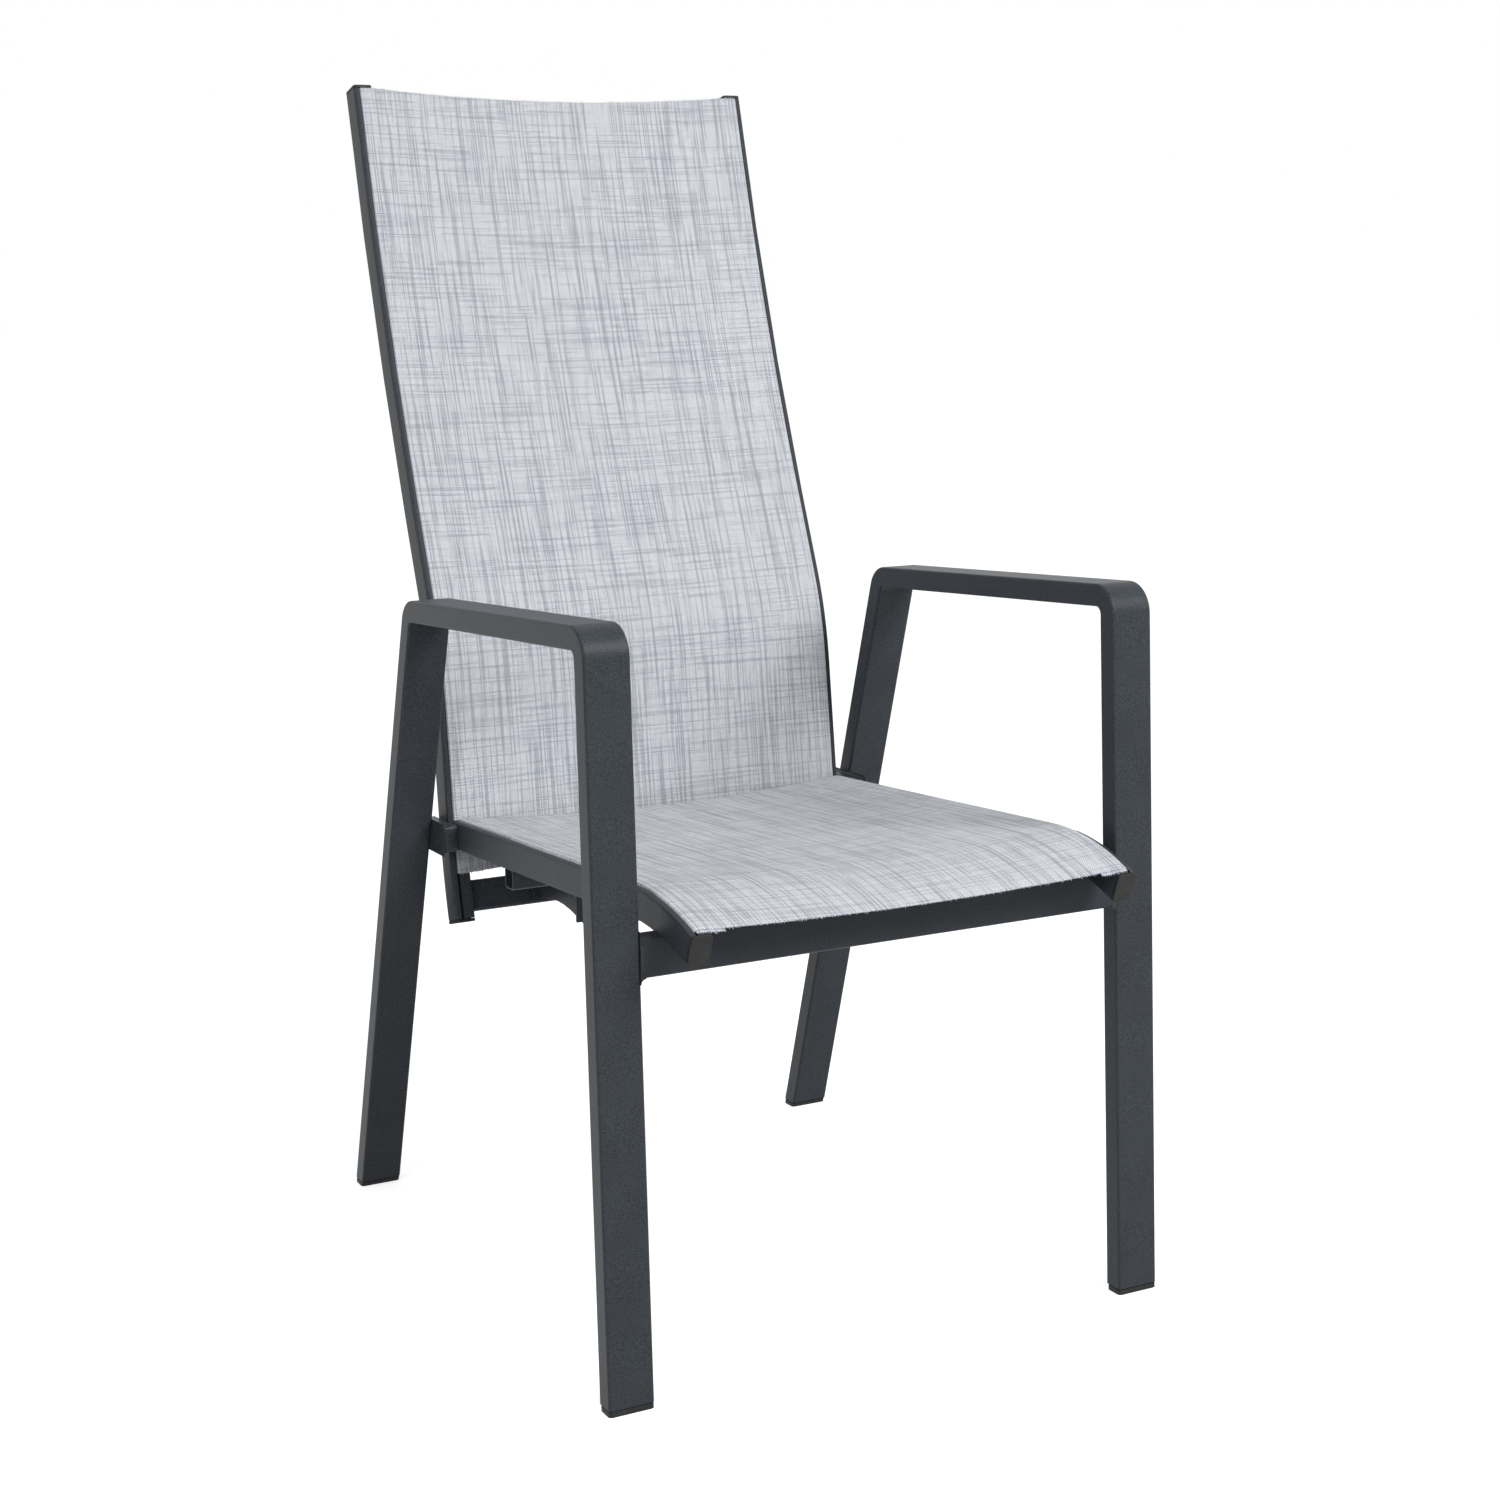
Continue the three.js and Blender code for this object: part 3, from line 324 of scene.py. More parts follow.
def drawn_in(line, distance):
    """The factor across the chair by which the sling's pull draws the seat rails' free ends together."""
    if line is not SEAT_LINE:
        return 1.0
    share = (distance - line.length + DRAWN_RUN) / DRAWN_RUN
    return 1 - DRAWN_IN * min(1.0, max(0.0, share)) ** 1.5


# Finishes

class Shade:
    """An output in a node tree, with arithmetic that adds Math nodes."""

    def __init__(self, nodes, socket):
        self.nodes = nodes
        self.socket = socket

    def _math(self, operation, *values):
        return self.nodes.node("ShaderNodeMath", {"operation": operation}, dict(enumerate(values)))

    def __add__(self, other):
        return self._math("ADD", self, other)

    __radd__ = __add__

    def __sub__(self, other):
        return self._math("SUBTRACT", self, other)

    def __rsub__(self, other):
        return self._math("SUBTRACT", other, self)

    def __mul__(self, other):
        return self._math("MULTIPLY", self, other)

    __rmul__ = __mul__

    def __truediv__(self, other):
        return self._math("DIVIDE", self, other)

    def __rtruediv__(self, other):
        return self._math("DIVIDE", other, self)

    def __mod__(self, other):
        return self._math("FLOORED_MODULO", self, other)

    def floor(self):
        return self._math("FLOOR", self)

    def cos(self):
        return self._math("COSINE", self)

    def larger(self, other):
        return self._math("MAXIMUM", self, other)

    def band(self, low, high):
        """0 below low, 1 above high, and smooth between."""
        settings = {"interpolation_type": "SMOOTHSTEP"}
        return self.nodes.node(
            "ShaderNodeMapRange", settings, {"Value": self, "From Min": low, "From Max": high}
        )


class Nodes:
    """A node tree, emptied, whose nodes are added one at a time."""

    def __init__(self, tree):
        self.tree = tree
        self.tree.nodes.clear()

    def node(self, kind, settings=None, inputs=None, out=0):
        """Adds a node, sets it up, fills its sockets and gives back one of its outputs."""
        made = self.tree.nodes.new(kind)
        for key, value in (settings or {}).items():
            setattr(made, key, value)
        for key, value in (inputs or {}).items():
            socket = made.inputs[key]
            if isinstance(value, Shade):
                self.tree.links.new(value.socket, socket)
            else:
                socket.default_value = value
        return Shade(self, made.outputs[out]) if made.outputs else None

    def place(self, stretch=(1, 1, 1)):
        """Object coordinates, stretched along each axis."""
        coordinates = self.node("ShaderNodeTexCoord", out="Object")
        return self.node("ShaderNodeMapping", {}, {"Vector": coordinates, "Scale": stretch})

    def noise(self, vector, scale, detail=2.0, roughness=0.5):
        inputs = {"Vector": vector, "Scale": scale, "Detail": detail, "Roughness": roughness}
        return self.node("ShaderNodeTexNoise", {}, inputs)

    def blend(self, share, first, second):
        """A colour between two, by share."""
        settings = {"data_type": "RGBA", "clamp_factor": True}
        return self.node("ShaderNodeMix", settings, {0: share, 6: first, 7: second}, out=2)

    def point(self, x, y, z=0.0):
        return self.node("ShaderNodeCombineXYZ", {}, {"X": x, "Y": y, "Z": z})

    def bump(self, height, distance, strength=1.0):
        inputs = {"Height": height, "Distance": distance, "Strength": strength}
        return self.node("ShaderNodeBump", {}, inputs)


class Finish(Nodes):
    """A material, whose surface shader closes it."""

    def __init__(self, name):
        self.material = bpy.data.materials.new(name)
        self.material.use_nodes = True
        super().__init__(self.material.node_tree)

    def coat(self, **inputs):
        """A Principled BSDF. Its sockets are named with underscores for spaces."""
        sockets = {key.replace("_", " "): value for key, value in inputs.items()}
        return self.show(self.node("ShaderNodeBsdfPrincipled", {}, sockets))

    def show(self, shader):
        self.node("ShaderNodeOutputMaterial", {}, {"Surface": shader})
        return self.material


def four(colour, factor=1.0):
    return tuple(channel * factor for channel in colour[:3]) + (1.0,)


def powder_coat():
    """Fine-textured anthracite powder coat: a tight orange peel with faint clouding."""
    looks = bpy.context.scene.sling_chair_looks
    finish = Finish("powder_coat")
    place = finish.place()
    grain = finish.noise(place, 900.0, 2.0, 0.6)
    clouds = finish.noise(place, 22.0, 2.0)
    dark = four(looks.frame_colour, 0.62)
    pale = four(looks.frame_colour, 1.42)
    colour = finish.blend((grain * 0.85 + clouds * 0.15).band(0.34, 0.66), dark, pale)
    gloss = looks.frame_roughness - 0.05 + clouds * 0.06 + grain * 0.05
    return finish.coat(
        Base_Color=colour,
        Roughness=gloss,
        Specular_IOR_Level=0.16,
        Normal=finish.bump(grain, 0.00008, 0.55),
    )


def weld_coat():
    """The same coat where it has run over a weld: glossier and rippled."""
    looks = bpy.context.scene.sling_chair_looks
    finish = Finish("weld_coat")
    place = finish.place()
    spatter = finish.noise(place, 420.0, 2.0)
    dark, pale = four(looks.frame_colour, 0.6), four(looks.frame_colour, 1.1)
    colour = finish.blend(spatter.band(0.35, 0.65), dark, pale)
    return finish.coat(
        Base_Color=colour,
        Roughness=0.30 + spatter * 0.16,
        Specular_IOR_Level=0.24,
        Normal=finish.bump(spatter, 0.0004, 0.5),
    )


def moulded_plastic():
    """Black moulded plastic with a fine spark-eroded grain."""
    looks = bpy.context.scene.sling_chair_looks
    finish = Finish("moulded_plastic")
    place = finish.place()
    grain = finish.noise(place, 2200.0, 2.0)
    scuffs = finish.noise(place, 60.0, 4.0, 0.65)
    colour = finish.blend(scuffs.band(0.45, 0.7), four(looks.plastic_colour), four(looks.plastic_colour, 1.7))
    return finish.coat(
        Base_Color=colour,
        Roughness=0.46 + scuffs * 0.16,
        Specular_IOR_Level=0.22,
        Normal=finish.bump(grain, 0.00005, 0.5),
    )


def zinc_plate():
    """Bright zinc plate with faint turning marks and dull patches."""
    looks = bpy.context.scene.sling_chair_looks
    finish = Finish("zinc_plate")
    marks = finish.noise(finish.place((40, 1, 1)), 220.0, 3.0)
    patches = finish.noise(finish.place(), 160.0, 3.0)
    colour = finish.blend(patches.band(0.35, 0.7), four(looks.zinc_colour), four(looks.zinc_colour, 0.72))
    return finish.coat(
        Base_Color=colour,
        Roughness=0.24 + patches * 0.2,
        Metallic=0.95,
        Normal=finish.bump(marks, 0.00003, 0.4),
    )


def keder_rod():
    """Extruded grey rod with die lines along it."""
    finish = Finish("keder_rod")
    lines = finish.noise(finish.place((1, 0.05, 0.05)), 900.0, 2.0)
    colour = finish.blend(lines.band(0.3, 0.7), (0.25, 0.25, 0.26, 1), (0.33, 0.33, 0.34, 1))
    return finish.coat(
        Base_Color=colour,
        Roughness=0.4 + lines * 0.1,
        Normal=finish.bump(lines, 0.00004, 0.4),
    )


def sling_cloth():
    """Plain-woven coated yarn. Each warp and weft yarn has its own light and dark stretches, which
    show most where that yarn lies on top."""
    looks = bpy.context.scene.sling_chair_looks
    pitch = looks.yarn_pitch
    finish = Finish("sling_cloth")
    chart = finish.node("ShaderNodeUVMap", {"uv_map": "cloth"})
    across = finish.node("ShaderNodeSeparateXYZ", {}, {0: chart}, out=0)
    along = finish.node("ShaderNodeSeparateXYZ", {}, {0: chart}, out=1)
    warp_place = across / pitch
    weft_place = along / pitch
    warp = warp_place.floor()
    weft = weft_place.floor()
    in_warp = ((warp_place - warp) - 0.5) * math.pi
    in_weft = ((weft_place - weft) - 0.5) * math.pi
    warp_up = (warp + weft) % 2.0
    warp_crown = in_warp.cos() * (in_weft.cos() * 0.5 + 0.5)
    weft_crown = in_weft.cos() * (in_warp.cos() * 0.5 + 0.5)
    height = warp_crown * warp_up + weft_crown * (1 - warp_up)

    # The dark stretches are a yarn wide, as many across the chair as along it, and a little paler.
    warp_long = finish.noise(finish.point(warp * 7.13, along * 8.0, 0.5), 1.0, 1.0, 0.5)
    warp_short = finish.noise(finish.point(warp * 5.31, along * 45.0, 4.5), 1.0, 1.0, 0.5)
    weft_long = finish.noise(finish.point(across * 10.0, weft * 6.37, 9.5), 1.0, 1.0, 0.5)
    weft_short = finish.noise(finish.point(across * 50.0, weft * 4.71, 2.5), 1.0, 1.0, 0.5)
    warp_dark = warp_long.band(0.48, 0.66) * 1.05 + warp_short.band(0.52, 0.72) * 0.4
    weft_dark = weft_long.band(0.49, 0.68) * 0.9 + weft_short.band(0.52, 0.72) * 0.4
    dark = warp_dark * (warp_up * 0.55 + 0.35) + weft_dark * (0.9 - warp_up * 0.55)
    drift = finish.noise(finish.point(across * 9.0, along * 6.0, 3.0), 1.0, 1.0)
    streak = finish.blend(drift.band(0.4, 0.6), four(looks.streak_and_shade_colour), four(looks.fleck_colour))
    lying_under = finish.blend(warp_up, four(looks.sling_colour, 0.74), four(looks.sling_colour))
    yarn = finish.blend(dark, lying_under, streak)
    # Where the weave's height is low, between the yarns, the colour falls to a darkened streak colour:
    # painted shade in the weave's hollows.
    colour = finish.blend(height.band(0.08, 0.6), four(looks.streak_and_shade_colour, 0.7), yarn)
    return finish.coat(
        Base_Color=colour,
        Roughness=0.62 + dark * 0.1,
        Specular_IOR_Level=0.35,
        Sheen_Weight=0.08,
        Sheen_Roughness=0.5,
        Normal=finish.bump(height, 0.00035, 0.8),
    )


FINISHES = (powder_coat, weld_coat, moulded_plastic, zinc_plate, keder_rod, sling_cloth)


def finish_named(name):
    """A finish, made the first time that a piece asks for it."""
    makers = {maker.__name__: maker for maker in FINISHES}
    return bpy.data.materials.get(name) or makers[name]()


# Ways of making

def bent_tube(name, across, start, heading, runs):
    """The rounded oblong tube, drawn along its straights and spun round its bends."""
    deselect()
    place = Vector((across, start.y + FLOOR_DATUM, start.z))
    bpy.ops.mesh.primitive_plane_add(size=1, location=place, rotation=(-heading, 0, 0))
    tube = named(name)
    tube.scale = (TUBE_WIDTH, TUBE_DEPTH, 1)
    settle()
    edit()
    bpy.ops.mesh.bevel(offset=TUBE_CORNER, offset_type="OFFSET", segments=5, affect="VERTICES")
    select_all()
    for length, turn in runs:
        if turn == 0:
            step = heading_of(heading) * length
            bpy.ops.mesh.extrude_region_move(TRANSFORM_OT_translate={"value": step})
            place = place + step
        else:
            centre = place + square_of(heading) * (length / turn)
            steps = max(2, round(abs(math.degrees(turn)) / 4))
            bpy.ops.mesh.spin(steps=steps, angle=turn, center=centre, axis=(1, 0, 0))
            place = centre - square_of(heading + turn) * (length / turn)
            heading += turn
    select_all()
    bpy.ops.mesh.remove_doubles(threshold=1e-6)
    bpy.ops.mesh.normals_make_consistent(inside=False)
    leave()
    return tube


def dressed(node, finish, bevel=0.0, segments=2, flat=1.0, angle=50):
    """A copy of a CAD node with its facets merged, its edges eased and its rounds shaded round."""
    source = frame["nodes"][node]
    piece = bpy.data.objects.new(node + "_made", source.data.copy())
    bpy.context.scene.collection.objects.link(piece)
    pick(piece)
    edit()
    bpy.ops.mesh.remove_doubles(threshold=1e-5)
    bpy.ops.mesh.customdata_custom_splitnormals_clear()
    select_all()
    bpy.ops.mesh.dissolve_limited(angle_limit=math.radians(flat))
    leave()
    if bevel:
        apply_modifier(
            piece,
            "BEVEL",
            width=bevel,
            segments=segments,
            limit_method="ANGLE",
            angle_limit=math.radians(38),
            harden_normals=False,
        )
    smooth(piece, angle)
    apply_modifier(piece, "WEIGHTED_NORMAL", keep_sharp=True)
    return fitted(piece, SLOT_OF[node], BODY_OF[node], finish_named(finish), node)


def laid_along(piece, old, new):
    """Moves a copy that lies along one line to the same places along another. Where the new line is
    shorter, the stretch at its far end moves back, so the rail's tip and its cap keep their shape."""
    loss = old.length - new.length
    for vertex in piece.data.vertices:
        distance = old.nearest(vertex.co)
        foot, angle = old.at(distance)
        off = (vertex.co - foot).dot(square_of(angle))
        share = (distance - old.length + SEAT_TIP_RUN) / SEAT_TIP_RUN
        distance -= loss * min(1.0, max(0.0, share))
        foot, angle = new.at(distance)
        across = vertex.co.x * drawn_in(new, distance)
        vertex.co = foot + square_of(angle) * off
        vertex.co.x = across
    piece.data.update()
    return piece


def widened(piece):
    """Fits a foot plug's copy to the tube's width."""
    for vertex in piece.data.vertices:
        side = math.copysign(1, vertex.co.x)
        from_inner = abs(vertex.co.x) - LEG_INNER
        vertex.co.x = side * (LEG_INNER + from_inner * TUBE_WIDTH / PACKED_TUBE_WIDTH)
    piece.data.update()
    return piece


def fillet_weld(name, centre, size, side, reach, lean=0.0, body="base", flare=(1.0, 1.0)):
    """A fillet weld round a bar's oblong end: a collar that flares on to the face that the bar meets,
    a little lumpy. It runs from the face towards the given side, and leans back with the bar. The
    flare gives how far it spreads in depth and in height, as shares of its reach."""
    deselect()
    bpy.ops.mesh.primitive_plane_add(size=1, location=centre, rotation=(0, math.pi / 2, 0))
    collar = named(name)
    width = [extent + 2 * reach * share for extent, share in zip(size, flare)]
    collar.scale = (width[1], width[0], 1)
    settle()
    edit()
    bpy.ops.mesh.bevel(offset=reach * min(flare), offset_type="OFFSET", segments=4, affect="VERTICES")
    select_all()
    bpy.ops.mesh.subdivide(number_cuts=1)
    select_all()
    steps = 6
    lump = 0.05
    gone_out = 0.0
    for i in range(1, steps + 1):
        angle = math.pi / 2 * i / steps
        out = reach * (1 - math.cos(angle))
        left = [
            extent + 2 * reach * share * (1 - math.sin(angle)) for extent, share in zip(size, flare)
        ]
        step = (side * (out - gone_out), 0, 0)
        bpy.ops.mesh.extrude_region_move(TRANSFORM_OT_translate={"value": step})
        factor = (1, left[0] / width[0], left[1] / width[1])
        bpy.ops.transform.resize(value=factor, center_override=centre)
        gone_out = out
        width = left
    select_all()
    bpy.ops.mesh.normals_make_consistent(inside=False)
    leave()
    rng = random.Random(name)
    for vertex in collar.data.vertices:
        vertex.co += Vector([rng.uniform(-1, 1) for _ in range(3)]) * reach * lump
    middle = Matrix.Translation(centre)
    collar.data.transform(middle @ Matrix.Rotation(-lean, 4, "X") @ middle.inverted())
    smooth(closed(collar), 60)
    return fitted(collar, "frame_coat", body, finish_named("weld_coat"))


# Cloth

def cloth_grid(name, columns, rows, where):
    """A grid whose points are placed by where(a, b), which gives the place and its cloth coordinates
    for two shares of the way over it."""
    deselect()
    bpy.ops.mesh.primitive_grid_add(
        x_subdivisions=columns, y_subdivisions=rows, size=1, location=(0, 0, 0)
    )
    cloth = named(name)
    while cloth.data.uv_layers:
        cloth.data.uv_layers.remove(cloth.data.uv_layers[0])
    chart = cloth.data.uv_layers.new(name="cloth")
    placed = [where(vertex.co.x + 0.5, vertex.co.y + 0.5) for vertex in cloth.data.vertices]
    for vertex, (place, _) in zip(cloth.data.vertices, placed):
        vertex.co = place
    for loop in cloth.data.loops:
        chart.data[loop.index].uv = placed[loop.vertex_index][1]
    cloth.data.update()
    return cloth


def bend_share(a):
    """Which zone a share of the width falls in (left edge, middle or right edge), and its share of
    that zone. Each edge, where the cloth bends into the slot, takes as many of the grid's columns."""
    edge_share = 0.16
    if a < edge_share:
        return 0, a / edge_share
    if a > 1 - edge_share:
        return 2, (1 - a) / edge_share
    return 1, (a - edge_share) / (1 - 2 * edge_share)


# How far across the chair and how far off the rail's face the cloth lies, from its slot inward.
EDGE_PROFILE = (
    (SLOT_ACROSS, -0.0020),
    (SLOT_ACROSS, -0.0004),
    (SLOT_ACROSS - 0.0002, 0.0004),
    (SLOT_ACROSS - 0.0008, 0.0010),
    (SLOT_ACROSS - 0.0018, CLOTH_LIFT),
    (SLOT_ACROSS - 0.0050, CLOTH_LIFT),
    (SLOT_ACROSS - 0.0100, CLOTH_LIFT),
    (RAIL_INNER + 0.0010, 0.0011),
    (RAIL_INNER - 0.0010, 0.0004),
)


def across_profile(a, sag):
    """How far across the rails and how far off their faces the cloth lies, at a share of its width."""
    zone, share = bend_share(a)
    if zone == 1:
        inner, lift = EDGE_PROFILE[-1]
        across = inner * (2 * share - 1)
        fall = 1 - (2 * share - 1) ** 2
        return across, lift - sag * fall
    place = share * (len(EDGE_PROFILE) - 1)
    i = min(int(place), len(EDGE_PROFILE) - 2)
    part = place - i
    near, far = EDGE_PROFILE[i], EDGE_PROFILE[i + 1]
    across = near[0] + (far[0] - near[0]) * part
    lift = near[1] + (far[1] - near[1]) * part
    return (-across if zone == 0 else across), lift


def off_rail(line, distance, sign, lift, across):
    """The place at a distance along the rails, a height off their faces and a distance across them,
    and the line's heading there."""
    place, angle = line.at(distance)
    place = place + square_of(angle) * sign * (RAIL_DEPTH / 2 + lift)
    place.x = across * drawn_in(line, distance)
    return place, angle


def thickened(cloth, thickness, **settings):
    """Gives a cloth its thickness and shades it round."""
    apply_modifier(cloth, "SOLIDIFY", thickness=thickness, offset=0.0, **settings)
    pick(cloth)
    bpy.ops.object.shade_smooth()
    return cloth


def sling(name, line, sign, start, end, sag, start_dip, end_dip, rows, thickness):
    """A sling between two rails. Its free edges are drawn in towards its middle by their dips."""

    def where(a, b):
        across, lift = across_profile(a, sag)
        inward = max(0.0, 1 - (across / RAIL_INNER) ** 2)
        low = start + start_dip * inward
        high = line.length - end - end_dip * inward
        distance = low + (high - low) * b
        if lift < 0 and abs(across) < RAIL_INNER:
            # The cloth hangs a tenth less at its free edges.
            near_end = min(distance - low, high - distance)
            lift *= 1 - 0.10 * math.exp(-near_end / 0.03)
        place, _ = off_rail(line, distance, sign, lift, across)
        return place, (across, distance)

    return thickened(cloth_grid(name, 76, rows, where), thickness, use_even_offset=True)


def hem(name, line, sign, side, start, end, reach, thickness):
    """The hem's turned-under layer, from the slot to its raw inner edge."""
    outer = SLOT_ACROSS - 0.0008

    def where(a, b):
        across = outer - (outer - reach) * a
        inside = max(0.0, RAIL_INNER - across)
        lift = 0.0003 - inside * 0.085 - (0.0006 if inside else 0)
        distance = start + (line.length - end - start) * b
        place, _ = off_rail(line, distance, sign, lift, side * across)
        return place, (side * across, distance)

    return thickened(cloth_grid(name, 10, 90, where), thickness)


def thread_ends(name, spots, radius):
    """Cut yarn ends along a raw edge. Each spot is a place, a direction, and a length."""
    deselect()
    bpy.ops.mesh.primitive_cone_add(vertices=5, radius1=1, radius2=0.45, depth=1, location=(0, 0, 0.5))
    stub = named(name + "_stub")
    settle()
    edit()
    bpy.ops.mesh.bisect(plane_co=(0, 0, 0.55), plane_no=(0, 0, 1))
    leave()
    for vertex in stub.data.vertices:
        vertex.co.x += 0.8 * vertex.co.z**2
    copies = []
    rng = random.Random(name)
    for place, direction, length in spots:
        turned = direction.to_track_quat("Z", "X").to_matrix().to_4x4()
        spin = Matrix.Rotation(rng.uniform(0, 2 * math.pi), 4, "Z")
        size = Matrix.Diagonal((radius, radius, length, 1))
        mesh = stub.data.copy()
        mesh.transform(Matrix.Translation(place) @ turned @ spin @ size)
        one = bpy.data.objects.new(name, mesh)
        bpy.context.scene.collection.objects.link(one)
        copies.append(one)
    bpy.data.objects.remove(stub)
    deselect()
    for one in copies:
        one.select_set(True)
    bpy.context.view_layer.objects.active = copies[0]
    bpy.ops.object.join()
    ends = named(name)
    while ends.data.uv_layers:
        ends.data.uv_layers.remove(ends.data.uv_layers[0])
    chart = ends.data.uv_layers.new(name="cloth")
    for loop in ends.data.loops:
        point = ends.data.vertices[loop.vertex_index].co
        chart.data[loop.index].uv = (point.x, point.z + point.y)
    smooth(ends, 60)
    return ends


def edge_spots(name, line, sign, distance_at, sag, yarns, spans, drop=0.0, way=1):
    """Where the yarns end along a raw edge, over the spans given across the chair. They point up the
    line, or down it where way is -1."""
    rng = random.Random(name)
    inner, inner_lift = EDGE_PROFILE[-1]
    gap, longest = yarns
    spots = []
    for low, high in spans:
        for i in range(int((high - low) / gap) + 1):
            across = low + (i + rng.uniform(-0.25, 0.25)) * gap
            lift = CLOTH_LIFT
            if abs(across) < inner:
                lift = inner_lift - 0.9 * sag * (1 - (across / inner) ** 2)
            inward = max(0.0, 1 - (across / RAIL_INNER) ** 2)
            place, angle = off_rail(line, distance_at(inward), sign, lift - drop, across)
            along = heading_of(angle) * way
            direction = along + Vector((rng.uniform(-0.35, 0.35), 0, 0))
            direction += square_of(angle) * rng.uniform(-0.3, 0.2)
            start = place - along * YARN_ROOT
            spots.append((start, direction.normalized(), rng.uniform(0.3, 1.0) * longest + YARN_ROOT))
    return spots


# What a user may change

class SlingChairSizes(bpy.types.PropertyGroup):
    """Sizes of the made pieces."""

    cloth_thickness: bpy.props.FloatProperty(
        name="Cloth Thickness",
        description="Thickness of the woven slings",
        default=0.0009,
        min=0.0004,
        max=0.0012,
        precision=4,
        unit="LENGTH",
    )
    seat_sag: bpy.props.FloatProperty(
        name="Seat Sag",
        description="How far the seat's sling hangs below its rails at its middle",
        default=0.009,
        min=0.0,
        max=0.02,
        precision=4,
        unit="LENGTH",
    )
    back_sag: bpy.props.FloatProperty(
        name="Back Sag",
        description="How far the back's sling lies behind its rails' faces at its middle",
        default=0.012,
        min=0.0,
        max=0.02,
        precision=4,
        unit="LENGTH",
    )
    edge_dip: bpy.props.FloatProperty(
        name="Edge Dip",
        description="How far a sling's free edge draws in at its middle",
        default=0.006,
        min=0.0,
        max=0.012,
        precision=4,
        unit="LENGTH",
    )
    hem_width: bpy.props.FloatProperty(
        name="Hem Width",
        description="Width of the turned-under hem beside each rail",
        default=0.028,
        min=0.015,
        max=0.04,
        precision=4,
        unit="LENGTH",
    )
    weld_radius: bpy.props.FloatProperty(
        name="Weld Radius",
        description="Reach of the fillet welds round the blocks and the back's crossbar",
        default=0.0030,
        min=0.001,
        max=0.005,
        precision=4,
        unit="LENGTH",
    )


class SlingChairLooks(bpy.types.PropertyGroup):
    """Colours and textures of the finishes."""

    frame_colour: bpy.props.FloatVectorProperty(
        name="Frame Colour",
        description="Powder coat on the tubes and rails",
        default=(0.0375, 0.0435, 0.0505),
        min=0.0,
        max=1.0,
        subtype="COLOR",
    )
    frame_roughness: bpy.props.FloatProperty(
        name="Frame Roughness",
        description="Roughness of the powder coat",
        default=0.42,
        min=0.1,
        max=1.0,
        subtype="FACTOR",
    )
    plastic_colour: bpy.props.FloatVectorProperty(
        name="Plastic Colour",
        description="Caps, foot plugs and bushes",
        default=(0.018, 0.0175, 0.018),
        min=0.0,
        max=1.0,
        subtype="COLOR",
    )
    zinc_colour: bpy.props.FloatVectorProperty(
        name="Zinc Colour",
        description="Bolts, nuts, clips and springs",
        default=(0.55, 0.55, 0.53),
        min=0.0,
        max=1.0,
        subtype="COLOR",
    )
    sling_colour: bpy.props.FloatVectorProperty(
        name="Sling Colour",
        description="The slings' pale yarns",
        default=(0.945, 0.97, 1.0),
        min=0.0,
        max=1.0,
        subtype="COLOR",
    )
    # Darkened, this colour is also the painted shade between the slings' yarns.
    streak_and_shade_colour: bpy.props.FloatVectorProperty(
        name="Streak Colour",
        description="The grey-mauve stretches in the slings' yarns",
        default=(0.4, 0.395, 0.455),
        min=0.0,
        max=1.0,
        subtype="COLOR",
    )
    fleck_colour: bpy.props.FloatVectorProperty(
        name="Fleck Colour",
        description="The cooler grey that the stretches drift to",
        default=(0.41, 0.425, 0.465),
        min=0.0,
        max=1.0,
        subtype="COLOR",
    )
    yarn_pitch: bpy.props.FloatProperty(
        name="Yarn Pitch",
        description="Distance from one yarn to the next",
        default=0.0013,
        min=0.0005,
        max=0.004,
        precision=5,
        unit="LENGTH",
    )
    floor_colour: bpy.props.FloatVectorProperty(
        name="Floor Colour",
        description="The stage's plain floor",
        default=(0.82, 0.82, 0.82),
        min=0.0,
        max=1.0,
        subtype="COLOR",
    )


# Operators

class SlingChairOperator:
    """What the operators share."""

    bl_options = {"REGISTER", "UNDO"}


